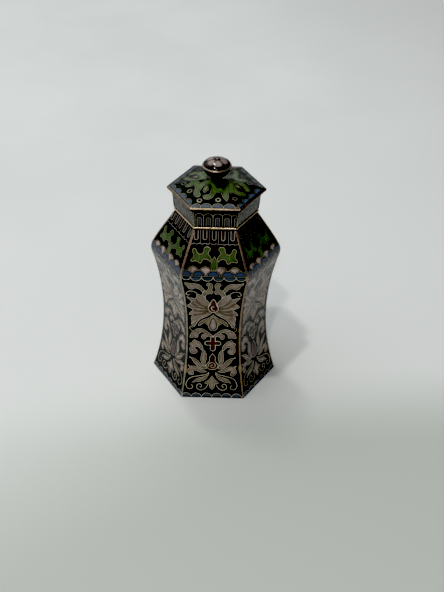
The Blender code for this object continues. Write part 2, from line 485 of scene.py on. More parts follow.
# Least square of the mean direction at a corner, so that a sharp corner doesn't run far out
CORNER_LIMIT = 0.30

# Precision of the cutting of a cell, in millimetres
CUT_PRECISION = 1e-5

# Shift of the brush streaks from one cell point to the next, and the least distance that gives them an angle
STREAK_SHIFT = 0.37
STREAK_START = 0.001


def unit_normals(line, closed):
    """Sideways direction at each point, longer at a corner so that the wire keeps its width."""
    normals = []
    count = len(line)
    for index, point in enumerate(line):
        before = line[index - 1] if closed or index > 0 else point
        after = line[(index + 1) % count] if closed or index < count - 1 else point
        sides = []
        for first, second in ((before, point), (point, after)):
            length = math.dist(first, second)
            if length > TINY:
                sides.append(((first[1] - second[1]) / length, (second[0] - first[0]) / length))
        x, y = (sum(values) / len(sides) for values in zip(*sides))
        square = max(x * x + y * y, CORNER_LIMIT)
        normals.append((x / square, y / square))
    return normals


def without_repeats(line, closed):
    cleaned = [line[0]]
    for point in line[1:]:
        if math.dist(point, cleaned[-1]) > SAME_POINT:
            cleaned.append(point)
    if closed and math.dist(cleaned[0], cleaned[-1]) < SAME_POINT:
        cleaned.pop()
    return cleaned


def lay_wire(pile, surface, line, width, closed, proud):
    """A half-round wire along the line, with its root in the enamel."""
    line = without_repeats(line, closed)
    if len(line) < 2:
        return
    points = []
    for (x, s), (nx, ns) in zip(line, unit_normals(line, closed)):
        for share, rise in WIRE_SECTION:
            height = WIRE_ROOT if rise is None else proud * rise
            aside = share * width / 2
            points.append(surface.at(x + nx * aside, s + ns * aside, height))
    size = len(WIRE_SECTION)
    count = len(line)
    faces = []
    for row in range(count if closed else count - 1):
        here, onward = row * size, (row + 1) % count * size
        for index in range(size):
            following = (index + 1) % size
            faces.append((here + index, here + following, onward + following, onward + index))
    if not closed:
        faces.append(tuple(reversed(range(size))))
        faces.append(tuple(range((count - 1) * size, count * size)))
    pile.add(points, faces)


def sides_of(outline):
    return zip(outline, outline[1:] + outline[:1])


def signed_area(outline):
    return sum(ax * by - bx * ay for (ax, ay), (bx, by) in sides_of(outline)) / 2


def edge_distance(point, outline):
    """Distance from a point to the nearest side of an outline."""
    px, py = point
    best = float("inf")
    for (ax, ay), (bx, by) in sides_of(outline):
        dx, dy = bx - ax, by - ay
        square = dx * dx + dy * dy
        if square > TINY * MM:
            share = max(0.0, min(1.0, ((px - ax) * dx + (py - ay) * dy) / square))
            best = min(best, (px - ax - dx * share) ** 2 + (py - ay - dy * share) ** 2)
    return math.sqrt(best)


def holds(outline, point):
    """True if the point is inside the outline."""
    px, py = point
    inside = False
    for (ax, ay), (bx, by) in sides_of(outline):
        if (ay > py) != (by > py) and px < (bx - ax) * (py - ay) / (by - ay) + ax:
            inside = not inside
    return inside


def shrunk(outline, depth):
    """The outline moved inwards by depth. It has to run anticlockwise."""
    normals = unit_normals(outline, True)
    return [(x + nx * depth, s + ns * depth) for (x, s), (nx, ns) in zip(outline, normals)]


def inner_points(outline):
    """A triangular grid of points inside the outline, clear of its edge."""
    xs, levels = zip(*outline)
    points = []
    row = 0
    s = min(levels)
    while s < max(levels):
        x = min(xs) + (CELL_GRID / 2 if row % 2 else 0.0)
        while x < max(xs):
            if holds(outline, (x, s)) and edge_distance((x, s), outline) > CELL_MARGIN:
                points.append((x, s))
            x += CELL_GRID
        s += CELL_ROW
        row += 1
    return points


class Cell:
    """An enamelled field: its outline cut into triangles once, then laid on as many surfaces as carry it."""

    def __init__(self, outline, colour, tint, order, heart):
        self.colour = colour
        self.tint = tint
        self.lift = CELL_LEVEL + CELL_STACK * order
        self.heart = heart
        places = [Vector(point) for point in outline + inner_points(outline)]
        rim = list(sides_of(list(range(len(outline)))))
        points, _edges, faces, *_sources = delaunay_2d_cdt(places, rim, [], 1, CUT_PRECISION)
        self.points = [(point.x, point.y) for point in points]
        self.faces = [tuple(face) for face in faces]
        self.depths = [min(edge_distance(point, outline), CELL_REACH) for point in self.points]

    def lay(self, pile, surface, place):
        """Adds a thin plate to the pile: a crowned top, a flat underside in the ground, and its wall."""
        top, under, edges, streaks = [], [], [], []
        for (x, s), depth in zip(self.points, self.depths):
            across, along = place(x, s)
            crown = 1 - (1 - depth / CELL_REACH) ** 2
            top.append(surface.at(across, along, self.lift + CELL_CROWN * crown))
            under.append(surface.at(across, along, CELL_ROOT))
            # Share that sets the painted shade along the wire: 0 at the cell's edge, rising to 1 a little way
            # in
            edges.append(min(depth / WIRE_SHADE_WIDTH, 1.0))
            streaks.append(self.streak(x, s, len(pile.points)))
        count = len(top)
        faces = self.faces + [tuple(count + index for index in reversed(face)) for face in self.faces]
        uses = dict.fromkeys(side for face in self.faces for side in sides_of(face))
        for first, second in uses:
            if (second, first) not in uses:
                faces.append((second, first, count + first, count + second))
        pile.add(top + under, faces, self.tint, edges * 2, streaks * 2)

    def streak(self, x, s, seed):
        """Angle and distance from where the cell's streaks start, on the cell's own side, and a shift."""
        across, along = abs(x) - self.heart[0], s - self.heart[1]
        return (math.atan2(along, across + STREAK_START), math.hypot(across, along), seed * STREAK_SHIFT)


class Drawing:
    """Cells and wires that are drawn once and laid on every surface that carries them."""

    def __init__(self, wire_pile="gilt"):
        self.cells = []
        self.wires = []
        self.wire_pile = wire_pile
        self.depth = OUTLINE_DEPTH

    def wire(self, line, width=OUTLINE_WIRE, closed=False, pile=None):
        self.wires.append((pile or self.wire_pile, line, width, closed))

    def wires_both_sides(self, line, *look):
        self.wire(line, *look)
        self.wire(mirrored(line), *look)

    def vein(self, *points):
        """A darker wire inside a petal, and its mirror image."""
        self.wires_both_sides(trace(points), VEIN_WIRE, False, "vein")

    def cell(self, outline, colour, tint=0.0, wire=OUTLINE_WIRE, order=0, heart=(0, 0)):
        """A field with a wire just inside its drawn outline, or one that fills it where wire is 0."""
        if signed_area(outline) < 0:
            outline = list(reversed(outline))
        if wire:
            outline = shrunk(outline, self.depth)
            self.wire(outline, wire, True)
        self.cells.append(Cell(outline, colour, tint, order, heart))

    def cells_both_sides(self, outline, *look, **more):
        self.cell(outline, *look, **more)
        self.cell(mirrored(outline), *look, **more)

    def open_cell(self, line, colour, tint, width=OUTLINE_WIRE):
        """A field with its wire along the line only, and none on the straight side that closes it."""
        self.cell(line, colour, tint, wire=0)
        self.wire(line, width)

    def outline_both_sides(self, seen, hidden):
        """A wire just inside the seen part of an anticlockwise outline, and its mirror image."""
        self.wires_both_sides(shrunk(seen + hidden, OUTLINE_DEPTH)[:len(seen) + 1])

    def lay(self, piles, surface, place=lambda x, s: (x, s), fineness=1.0):
        """Lays it on a surface. The place gives where a drawn point comes, by default where it is drawn."""
        for cell in self.cells:
            cell.lay(piles[cell.colour], surface, place)
        for pile, line, width, closed in self.wires:
            placed = [place(x, s) for x, s in line]
            lay_wire(piles[pile], surface, placed, width * fineness, closed, WIRE_PROUD * fineness)


def colour_piles():
    names = "gilt", "plain", "dull", "neck", "vein", "black", "pink", "blue", "green", "red", "dusk"
    return {name: Pile() for name in names}


# Motifs of a side below the ridge

# Width at each side's edge that the corner strips cover, and that the drawings keep clear of
STRIP_ROOM = 0.4

FOOT_SCALLOPS = 6
FOOT_SCALLOP_FOOT = 0.5
FOOT_SCALLOP_RISE = 1.9


def foot_scallops(drawing, half_width):
    pitch = 2 * half_width / FOOT_SCALLOPS
    ends = [-half_width + pitch * index for index in range(FOOT_SCALLOPS + 1)]
    for line in scallops(ends, FOOT_SCALLOP_FOOT, FOOT_SCALLOP_RISE, pitch):
        drawing.open_cell(line, "blue", 0.25)


# Where the brush streaks of the petals start
FOOT_HEART = (0.0, 13.5)
SCROLL_HEART = (4.0, 24.0)
BRACKET_HEART = (0.0, 33.0)
SEPAL_HEART = (0.0, 45.0)
WING_HEART = (0.0, 48.5)
STEM_HEART = (1.5, 57.0)
FEATHER_HEART = (4.0, 58.5)


def foot_bud(drawing):
    outline = both_halves(
        [(0, 3.8), (1.0, 4.9), (1.45, 6.2), (1.4, 6.9)],
        [(2.3, 7.05), (3.2, 7.2), (3.6, 7.65)],
        [(3.2, 8.2), (2.2, 8.9), (1.4, 9.6), (0.8, 10.5), (0, 11.8)],
    )
    drawing.cell(outline, "pink", 0.3, heart=FOOT_HEART)
    drawing.vein((0.35, 5.0), (0.5, 7.0), (0.4, 9.0), (0.15, 10.6))


def foot_spirals(drawing):
    inner = trace([
        (1.9, 6.9), (2.5, 5.5), (3.5, 4.45), (4.9, 3.9), (6.1, 4.2), (6.85, 5.1), (6.85, 6.1),
        (6.2, 6.9), (5.4, 7.0), (4.75, 6.55), (4.7, 5.8), (5.1, 5.4), (5.5, 5.6),
    ])
    outer = trace([
        (1.5, 13.1), (2.7, 12.1), (4.8, 11.55), (6.9, 11.0), (8.85, 10.5), (10.6, 9.35), (11.55, 7.6),
        (11.8, 6.3), (11.2, 5.0), (10.2, 4.3), (9.2, 4.6), (8.65, 5.4), (8.95, 6.2), (9.6, 6.4),
    ])
    drawing.wires_both_sides(inner, CURL_WIRE)
    drawing.wires_both_sides(outer, CURL_WIRE)


def foot_leaf(drawing):
    outline = closed_trace(
        [(1.4, 12.7), (3.2, 11.35), (4.8, 10.75), (6.5, 10.2), (8.0, 9.2), (9.1, 7.5)],
        [(7.2, 7.75), (5.6, 8.0), (3.9, 8.7), (2.5, 9.9), (1.6, 11.6), (1.4, 12.7)],
    )
    drawing.cells_both_sides(outline, "pink", 0.3, heart=FOOT_HEART)
    drawing.vein((2.2, 11.7), (3.6, 10.2), (5.4, 9.3), (7.9, 8.3))


def side_petal(drawing):
    """A petal that runs out level and curls down into a ball."""
    outline = closed_trace(
        [(2.2, 13.6), (4.3, 14.5), (6.0, 15.3), (7.4, 16.1), (8.8, 16.4), (10.1, 16.3), (11.3, 16.8)],
        [(10.8, 15.7), (10.6, 15.2)],
        [(11.3, 14.5), (11.4, 13.2), (10.9, 11.9), (9.9, 11.2), (8.8, 11.4), (8.2, 12.2), (8.4, 13.1),
         (9.1, 13.7)],
        [(7.8, 13.8), (6.2, 13.1), (4.3, 12.9), (2.8, 13.2), (2.2, 13.6)],
    )
    drawing.cells_both_sides(outline, "pink", 0.15, heart=FOOT_HEART)
    drawing.vein((3.2, 13.6), (5.2, 14.0), (7.0, 14.9), (8.8, 15.2), (10.0, 14.4), (10.1, 13.1),
                 (9.3, 12.5))


def diagonal_petal(drawing):
    outline = closed_trace(
        [(10.8, 21.2), (9.0, 20.9), (7.4, 20.1), (6.0, 18.9), (5.0, 17.5), (3.8, 16.7), (2.6, 16.0)],
        [(2.3, 15.3)],
        [(3.0, 14.75), (4.7, 14.8), (6.3, 15.6), (7.7, 16.9), (8.8, 18.3), (9.6, 19.8), (10.8, 21.2)],
    )
    drawing.cells_both_sides(outline, "pink", 0.15, heart=FOOT_HEART)
    drawing.vein((9.6, 20.2), (8.2, 19.0), (6.5, 17.3), (4.8, 16.0), (3.2, 15.5))


def upright_leaf(drawing):
    outline = closed_trace(
        [(2.7, 16.2), (4.4, 17.1), (5.2, 18.4), (5.5, 20.1), (5.3, 22.1), (4.9, 24.0), (4.4, 25.2)],
        [(3.9, 25.3)],
        [(3.0, 24.0), (2.45, 22.2), (2.4, 20.5), (2.8, 19.0), (3.05, 17.6), (2.7, 16.2)],
    )
    drawing.cells_both_sides(outline, "pink", 0.3, heart=FOOT_HEART)
    drawing.vein((4.2, 24.4), (3.8, 22.2), (3.8, 20.0), (3.7, 18.4), (3.2, 17.2))


def hooked_scroll(drawing):
    outline = closed_trace(
        [(4.15, 25.2), (4.2, 26.3), (4.7, 27.6), (5.4, 28.7), (6.5, 29.75), (7.6, 30.35), (8.55, 31.0)],
        [(9.0, 30.0), (9.5, 29.2), (10.3, 28.8), (10.7, 28.0), (10.35, 27.05)],
        [(10.5, 26.2), (10.6, 24.9), (10.35, 23.6), (9.5, 22.6), (8.3, 22.4), (7.2, 23.1),
         (6.7, 24.1), (7.0, 25.0), (7.8, 25.6), (8.0, 26.0)],
        [(7.3, 26.35), (6.3, 26.0), (5.5, 25.1), (5.0, 24.2)],
        [(4.15, 25.2)],
    )
    drawing.cells_both_sides(outline, "pink", 0.05, heart=SCROLL_HEART)
    drawing.vein((5.0, 25.4), (5.5, 27.1), (6.6, 28.3), (8.0, 28.6), (9.1, 27.8), (9.5, 26.2),
                 (9.2, 24.8), (8.4, 24.2))


def lower_gourd(drawing):
    """A gourd in outline with its red core: a round belly with a curl, and a narrow neck."""
    drawing.cell(both_halves(
        [(0, 14.3), (1.6, 14.7), (2.7, 16.0), (2.7, 17.4), (1.9, 18.5), (1.4, 19.3), (1.5, 20.3),
         (1.25, 21.6), (0.6, 22.6), (0, 23.3)],
    ), "black", 0.0, wire=CURL_WIRE)
    drawing.cell(both_halves(
        [(0, 14.8), (1.4, 15.2), (2.2, 16.3), (2.1, 17.4), (1.3, 18.4), (0.75, 19.2), (0.7, 20.8),
         (0, 22.2)],
    ), "red", 0.2, wire=0, order=1)
    curl = trace([
        (-1.9, 16.0), (-1.7, 17.3), (-0.7, 18.3), (0.6, 18.1), (1.3, 17.1), (1.0, 15.9), (0.0, 15.5),
        (-0.7, 16.2), (-0.4, 17.0), (0.3, 16.9),
    ])
    drawing.wire(curl)


def cross(drawing):
    """A red cross with a wire outline that stands off it."""
    half, reach, top, foot, middle = 1.2, 3.7, 32.3, 24.3, 28.6
    outline = both_halves(
        [(0, foot), (0.7, foot + 0.25), (half, foot + 0.95), (half, middle - half)],
        [(reach - 0.9, middle - half), (reach - 0.1, middle - 0.6), (reach, middle)],
        [(reach - 0.1, middle + 0.6), (reach - 0.9, middle + half), (half, middle + half)],
        [(half, top)],
        [(0, top)],
    )
    drawing.cell(outline, "black", 0.0, wire=CURL_WIRE)
    arm = 0.72
    core = both_halves(
        [(0, 25.0), (arm, 25.6), (arm, middle - arm)],
        [(2.5, middle - arm), (3.1, middle)],
        [(2.5, middle + arm), (arm, middle + arm)],
        [(arm, 32.0)],
        [(0, 32.0)],
    )
    drawing.cell(core, "red", 0.35, wire=0, order=1)


def bracket(drawing):
    """Two scrolled arms that meet in a V, each with a ball hanging inside it."""
    outline = both_halves(
        [(0, 32.9), (1.3, 34.3), (2.5, 35.4), (3.75, 36.4), (5.2, 36.9), (6.8, 36.8), (8.3, 36.1),
         (9.4, 35.2), (10.1, 34.2), (10.4, 33.2), (10.8, 32.1)],
        [(10.3, 31.3), (9.4, 31.3), (8.7, 31.75)],
        [(7.6, 31.5), (6.6, 31.8), (6.5, 32.9), (6.0, 33.9), (4.95, 34.6), (3.9, 34.5), (3.3, 34.0)],
        [(4.3, 33.9), (5.2, 33.2), (5.3, 31.9), (4.8, 30.9), (4.0, 30.55), (3.15, 31.1), (2.8, 31.95)],
        [(2.0, 32.3), (1.25, 32.0), (0.6, 32.0), (0, 32.3)],
    )
    drawing.cell(outline, "pink", 0.15, heart=BRACKET_HEART)
    hook = trace([(9.4, 35.2), (10.4, 36.2), (10.7, 37.2), (10.25, 37.9), (9.6, 37.6), (9.5, 37.0)])
    drawing.wires_both_sides(hook, FINE_WIRE)
    drawing.vein((1.6, 33.4), (3.1, 34.9), (4.6, 35.8), (6.4, 35.5), (8.0, 34.5), (9.2, 33.2))


def sepal(drawing):
    """The yellowish leaf that hangs below the great petals, with a pink middle lobe."""
    leaf = both_halves(
        [(0, 45.2), (1.0, 44.1), (2.7, 42.85), (4.2, 42.1), (5.7, 40.9), (6.6, 39.6), (6.8, 38.1)],
        [(5.8, 38.5), (4.7, 39.5), (3.8, 40.0)],
        [(3.0, 39.1), (2.1, 38.4)],
        [(2.05, 37.5), (1.5, 36.4), (0.8, 35.65), (0, 35.5)],
    )
    lobe = both_halves(
        [(0, 43.3), (0.9, 42.2), (1.5, 40.6), (1.75, 38.8)],
        [(1.7, 37.6), (1.2, 36.6), (0.6, 36.0), (0, 35.9)],
    )
    drawing.cell(leaf, "pink", 0.65, heart=SEPAL_HEART)
    drawing.cell(lobe, "pink", 0.0, wire=0, order=1, heart=SEPAL_HEART)
    drawing.vein((0.6, 43.9), (2.0, 42.2), (3.7, 41.3), (5.4, 39.9))


def wing(drawing):
    """The great petal of each side: five lobes that spread from beside the gourd, under one outline."""
    edges = (
        trace([(0.3, 46.2), (1.4, 45.1), (3.2, 43.8), (4.8, 42.8), (6.2, 41.5), (7.2, 40.0), (8.0, 38.5),
               (8.6, 37.45)],
              [(9.4, 38.1), (9.95, 39.3), (9.8, 41.0), (10.15, 42.4), (9.95, 43.7), (9.1, 44.6)]),
        trace([(9.1, 44.6), (10.0, 44.6), (11.1, 44.9)],
              [(10.9, 45.7), (10.3, 46.6), (9.6, 47.3), (8.95, 48.0)]),
        trace([(8.95, 48.0), (10.1, 48.65), (11.15, 49.2), (11.8, 50.05)],
              [(11.3, 50.8), (10.4, 51.6), (9.8, 52.35)]),
        trace([(9.8, 52.35), (10.6, 53.65), (11.5, 54.8), (12.1, 55.75)],
              [(11.0, 55.65), (9.3, 55.0), (7.95, 54.7)]),
        trace([(7.95, 54.7), (7.65, 56.5), (7.5, 57.6)],
              [(6.7, 57.6), (5.8, 56.95), (4.6, 56.3), (3.6, 55.2)]),
    )
    roots = ((1.6, 46.9), (2.2, 47.6), (2.35, 48.5), (2.2, 49.5))
    veins = (
        trace([(9.1, 44.6), (7.0, 44.9), (4.2, 45.8), roots[0]]),
        trace([(8.95, 48.0), (7.0, 47.1), (4.6, 47.0), roots[1]]),
        trace([(9.8, 52.35), (8.2, 50.3), (5.4, 48.8), roots[2]]),
        trace([(7.95, 54.7), (7.0, 52.4), (4.8, 50.3), roots[3]]),
    )
    inner_top = trace([(3.6, 55.2), (3.3, 54.4), (2.4, 53.3), (1.8, 52.3), (1.5, 51.5)], [roots[3]])
    lobes = [joined(edges[0], veins[0] + [(0.3, 46.2)])]
    for index in range(1, 4):
        back = list(reversed(veins[index - 1]))
        lobes.append(joined(back, edges[index], veins[index] + [roots[index - 1]]))
    lobes.append(joined(list(reversed(veins[3])), edges[4], inner_top))
    for lobe in lobes:
        drawing.cells_both_sides(lobe, "pink", 0.15, wire=0, heart=WING_HEART)
    for vein in veins:
        drawing.vein(*vein)
    drawing.vein((2.8, 51.0), (4.2, 52.2), (5.6, 54.0))
    drawing.vein((2.9, 45.9), (5.0, 44.3), (7.2, 42.3), (8.5, 39.8))
    beside_gourd = trace([roots[3], roots[2]], [roots[1], roots[0], (0.3, 46.2)])
    drawing.outline_both_sides(joined(*edges, inner_top), beside_gourd[:-1])


def hook_and_feather(drawing):
    """Above each great petal, a stem that ends in a hooked ball, and a feather that springs from it."""
    stem = closed_trace(
        [(3.5, 55.1), (4.6, 56.4), (5.4, 57.1), (5.0, 58.1)],
        [(4.5, 59.1), (3.7, 60.1)],
        [(3.1, 60.3), (2.5, 61.25), (2.5, 62.4), (3.25, 63.3), (3.2, 64.3), (2.4, 65.1), (1.3, 65.0),
         (0.6, 64.3), (0.35, 63.2), (0.45, 61.9), (0.85, 60.7)],
        [(0.8, 60.2), (0.3, 59.5), (0.25, 58.5), (0.75, 57.7)],
        [(2.1, 57.7), (3.1, 57.0), (3.7, 55.9), (3.5, 55.1)],
    )
    drawing.cells_both_sides(stem, "pink", 0.6, heart=STEM_HEART)
    drawing.vein((2.9, 58.9), (1.9, 60.2), (1.35, 61.7), (1.3, 63.1), (1.9, 63.9), (2.5, 63.5))
    feather = closed_trace(
        [(4.9, 58.2), (5.2, 59.0), (6.1, 60.1), (7.3, 61.1), (8.4, 61.3), (9.2, 60.7), (10.4, 60.55)],
        [(11.3, 61.4), (12.0, 62.8), (12.9, 64.1), (13.2, 65.0)],
        [(12.0, 64.9), (10.0, 64.55), (7.7, 64.4), (6.2, 63.65), (5.1, 62.2), (4.2, 60.6), (3.7, 60.1)],
        [(4.5, 59.1), (4.9, 58.2)],
    )
    drawing.cells_both_sides(feather, "pink", 0.15, heart=FEATHER_HEART)
    drawing.vein((4.8, 60.0), (6.2, 61.9), (8.0, 63.0), (10.2, 63.2), (12.0, 64.1))


def curl(drawing):
    line = trace([(7.2, 57.8), (8.1, 58.7), (9.4, 59.3), (11.0, 59.2), (12.0, 58.2), (11.9, 57.0),
                  (11.1, 56.6), (10.5, 57.3)])
    drawing.wires_both_sides(line, CURL_WIRE)


def upper_gourd(drawing):
    """A pear-shaped red gourd with a curl in it, and a red sliver beside it."""
    drawing.cell(both_halves(
        [(0, 46.2), (1.4, 46.7), (2.25, 47.8), (2.4, 49.0), (2.0, 50.2), (1.55, 51.2), (1.45, 52.0),
         (1.2, 52.9), (0.7, 53.9), (0, 54.8)],
    ), "red", 0.2, wire=CURL_WIRE)
    drawing.wire(trace([(0.8, 47.2), (-0.4, 47.9), (-0.85, 48.9), (-0.45, 49.75), (0.35, 49.8)]), CURL_WIRE)
    drawing.cell(closed_trace(
        [(2.1, 51.1), (2.7, 50.2), (3.0, 49.3), (2.85, 48.3)],
        [(2.5, 48.6), (2.6, 49.4), (2.4, 50.3), (2.1, 51.1)],
    ), "red", 0.0, wire=0, order=1)


# Motifs at the ridge and on the shoulder

BAND_LINE = 68.65
HANGING_LINE = BAND_LINE - 0.2
HANGING_DEPTH = 2.25
HANGING_FULL_WIDTH = 4.8
HANGING_CUSPS = (-10.3, -5.4, -0.2, 4.6, 9.8)
HANGING_TINTS = (-0.6, 0.8, -0.5, -0.3, 0.8, -0.4)
FRONT_DISCS = (-12.5, -6.7, -0.1, 6.25, 11.7)
BACK_DISCS = (-9.2, -3.75, 3.3, 9.1)
DISC_RADIUS = 2.85
FRONT_DISC_LEVEL = 68.4
BACK_DISC_LEVEL = 70.2

# How far below a back disc its brush streaks start, so that they run nearly upright
DISC_HEART_DEPTH = 9 * DISC_RADIUS


def hanging_scallops(drawing, half_width):
    ends = (-half_width, *HANGING_CUSPS, half_width)
    lines = scallops(ends, HANGING_LINE, -HANGING_DEPTH, HANGING_FULL_WIDTH)
    for line, tint in zip(lines, HANGING_TINTS):
        drawing.open_cell(line, "blue", tint)


def circle_crossing(first, second, radius):
    """Upper point where two circles of the same radius cross."""
    middle = ((first[0] + second[0]) / 2, (first[1] + second[1]) / 2)
    apart = math.dist(first, second)
    reach = math.sqrt(max(radius * radius - apart * apart / 4, 0.0))
    aside = ((first[1] - second[1]) / apart, (second[0] - first[0]) / apart)
    reaches = (-reach, reach)
    points = [(middle[0] + aside[0] * out, middle[1] + aside[1] * out) for out in reaches]
    return max(points, key=lambda point: point[1])


def angle_of(centre, point):
    return math.atan2(point[1] - centre[1], point[0] - centre[0])


def front_disc(drawing, centre, half_width):
    """A half disc that stands on the band's line."""
    base = math.sqrt(DISC_RADIUS ** 2 - (BAND_LINE - FRONT_DISC_LEVEL) ** 2)
    left = max(centre - base, -half_width)
    right = min(centre + base, half_width)
    start = math.acos((right - centre) / DISC_RADIUS)
    end = math.acos((left - centre) / DISC_RADIUS)
    line = arc_between((centre, FRONT_DISC_LEVEL), DISC_RADIUS, start, end)
    drawing.cell([(right, BAND_LINE)] + line + [(left, BAND_LINE)], "blue", 0.85, wire=0)
    drawing.wire(line, FINE_WIRE)


def back_disc(drawing, left, middle, right):
    """The top of a disc behind two front ones, down to where it meets them. All three are centres."""
    left_meet = circle_crossing(left, middle, DISC_RADIUS)
    right_meet = circle_crossing(middle, right, DISC_RADIUS)
    top = arc_between(middle, DISC_RADIUS, angle_of(middle, right_meet), angle_of(middle, left_meet))
    left_side = arc_between(left, DISC_RADIUS, angle_of(left, left_meet), 0.0)
    right_side = arc_between(right, DISC_RADIUS, math.pi, angle_of(right, right_meet))
    heart = (abs(middle[0]), BACK_DISC_LEVEL - DISC_HEART_DEPTH)
    drawing.cell(top + left_side[1:] + right_side[:-1], "pink", 0.0, wire=0, heart=heart)
    drawing.wire(top)


def ridge_discs(drawing, half_width):
    """A row of half discs on the ridge, and the tops of the discs behind them, which fill the gaps."""
    drawing.wire(trace([(-half_width, BAND_LINE), (half_width, BAND_LINE)]), FINE_WIRE)
    for centre in FRONT_DISCS:
        front_disc(drawing, centre, half_width)
    fronts = [(x, FRONT_DISC_LEVEL) for x in FRONT_DISCS]
    for left, x, right in zip(fronts, BACK_DISCS, fronts[1:]):
        back_disc(drawing, left, (x, BACK_DISC_LEVEL), right)


SPRIG_WIRE = 0.44


def green_sprig(drawing):
    outline = closed_trace(
        [(1.1, 71.4), (1.45, 72.7), (1.45, 74.6), (0.9, 76.3), (0, 77.7)],
        [(-0.9, 76.3), (-1.45, 74.6), (-1.45, 72.7), (-1.1, 71.4)],
        [(0, 71.3), (1.1, 71.4)],
    )
    branch = closed_trace(
        [(1.15, 76.35), (1.5, 77.1), (2.1, 77.9), (2.7, 78.7), (2.5, 79.3), (1.75, 80.2), (1.85, 81.15),
         (2.9, 81.65), (4.05, 81.5), (4.7, 80.7), (4.85, 79.6), (5.3, 78.8), (6.3, 78.45), (7.2, 78.8),
         (7.7, 79.6), (8.0, 80.5), (8.8, 80.95), (9.6, 80.5), (9.75, 79.5), (9.4, 78.6), (9.2, 77.4),
         (9.9, 76.4), (10.5, 75.4)],
        [(9.8, 74.9), (8.6, 75.2), (7.6, 75.1), (6.7, 74.5), (6.1, 74.3), (5.5, 74.8),
         (5.1, 75.8), (4.3, 76.2), (3.3, 76.1), (2.4, 75.5), (1.8, 74.9)],
        [(1.15, 76.35)],
    )
    drawing.cells_both_sides(branch, "green", 0.4, wire=SPRIG_WIRE)
    drawing.cell(outline, "green", 0.6, wire=SPRIG_WIRE, order=1)
    drawing.vein((6.9, 78.2), (6.6, 77.2), (6.9, 76.1))


NECK_LINE = 82.8
NECK_TOP = 88.75
NECK_WAVE_HEIGHT = 0.20
NECK_WAVE_LENGTH = 2.4
NECK_WAVE_STEP = 0.25
NECK_WAVE_STEPS = 43
NECK_DIVIDERS = (-6.2, -2.4, 1.55, 5.9)
LAPPETS = (-8.0, -4.2, -0.3, 3.6, 7.8)
LAPPET_TINTS = (0.1, 0.3, 0.0, 0.3, 0.5)
LAPPET_HALF_WIDTH = 0.80
LAPPET_WIRE = 0.48
LAPPET_FOOT = 84.5


def neck_wave(half_width):
    """The wavy wire along the neck's foot, from one edge of the side to the other."""
    wave = []
    for step in range(-NECK_WAVE_STEPS, NECK_WAVE_STEPS + 1):
        x = step * NECK_WAVE_STEP
        if abs(x) < half_width:
            rise = NECK_WAVE_HEIGHT * math.sin(2 * math.pi * x / NECK_WAVE_LENGTH)
            wave.append((x, NECK_LINE + rise))
    return wave


def neck_lappets(drawing, half_width):
    drawing.wire(neck_wave(half_width), CURL_WIRE)
    for x in NECK_DIVIDERS:
        drawing.wire(trace([(x, NECK_LINE), (x, NECK_TOP)]))
    for x, tint in zip(LAPPETS, LAPPET_TINTS):
        drawing.open_cell(lappet(x, LAPPET_FOOT, NECK_TOP, LAPPET_HALF_WIDTH), "dusk", tint, LAPPET_WIRE)


def side_drawing(panel):
    """Everything on one of the jar's sides up to the line along the ridge."""
    drawing = Drawing()
    foot_scallops(drawing, panel.half_width(FOOT_SCALLOP_FOOT) - STRIP_ROOM)
    drawing.depth = SLIM_DEPTH
    foot_bud(drawing)
    foot_spirals(drawing)
    foot_leaf(drawing)
    side_petal(drawing)
    diagonal_petal(drawing)
    upright_leaf(drawing)
    hooked_scroll(drawing)
    bracket(drawing)
    drawing.depth = OUTLINE_DEPTH
    lower_gourd(drawing)
    cross(drawing)
    sepal(drawing)
    wing(drawing)
    hook_and_feather(drawing)
    curl(drawing)
    upper_gourd(drawing)
    hanging_scallops(drawing, panel.half_width(BAND_LINE) - STRIP_ROOM)
    return drawing


def shoulder_drawing(panel):
    """The ridge's discs and the shoulder's green sprig."""
    drawing = Drawing("dull")
    ridge_discs(drawing, panel.half_width(BAND_LINE) - STRIP_ROOM)
    green_sprig(drawing)
    return drawing


def neck_drawing(panel):
    drawing = Drawing("neck")
    neck_lappets(drawing, panel.half_width(NECK_LINE) - STRIP_ROOM)
    return drawing


# Motifs of the lid

SKIRT_PILLARS = (-8.8, -5.1, -1.0, 3.0, 7.0)
SKIRT_SPRING = 93.3
SKIRT_ARCH_TOP = 94.8
SKIRT_FOOT = 87.75
SKIRT_INNER_TOP = 92.6
SKIRT_ROOM = 0.35

# Width of a bay between two pillars from which its arch rises to the full height
SKIRT_BAY = 3.6

# The arches inside the bays: the middle and half width of each
SKIRT_INNER = ((-6.9, 0.95), (-3.0, 0.95), (1.0, 0.95), (5.0, 0.95), (8.9, 0.7))


def skirt_drawing(panel):
    drawing = Drawing()
    ends = (*SKIRT_PILLARS, panel.half_width(SKIRT_SPRING) - SKIRT_ROOM)
    for line in scallops(ends, SKIRT_SPRING, SKIRT_ARCH_TOP - SKIRT_SPRING, SKIRT_BAY):
        drawing.wire(line)
    for x in SKIRT_PILLARS:
        drawing.wire(trace([(x, SKIRT_FOOT), (x, SKIRT_SPRING)]))
    drawing.wire(trace([(-9.5, SKIRT_FOOT), (-9.55, 91.5), (-9.5, 95.5)]))
    for x, half_width in SKIRT_INNER:
        drawing.open_cell(lappet(x, SKIRT_INNER_TOP, SKIRT_FOOT, half_width), "dusk", 1.0)
    return drawing


LID_RING_RADIUS = 0.95
LID_RING_WIRE = 0.50
LID_RINGS = ((-11.5, -7.0), (-7.0, -14.2), (1.05, -13.7), (8.25, -12.3), (14.4, 0.6))
RIM_CUSPS = (-6.3, -1.6, 3.5, 8.5)
RIM_ROOM = 0.2
RIM_LINE = -18.2
RIM_SCALLOP_TOP = -15.8
RIM_FULL_WIDTH = 4.6


def rim_scallops(drawing, half_width):
    ends = (-half_width, *RIM_CUSPS, half_width)
    for line in scallops(ends, RIM_LINE, RIM_SCALLOP_TOP - RIM_LINE, RIM_FULL_WIDTH):
        drawing.open_cell(line, "blue", 0.3)


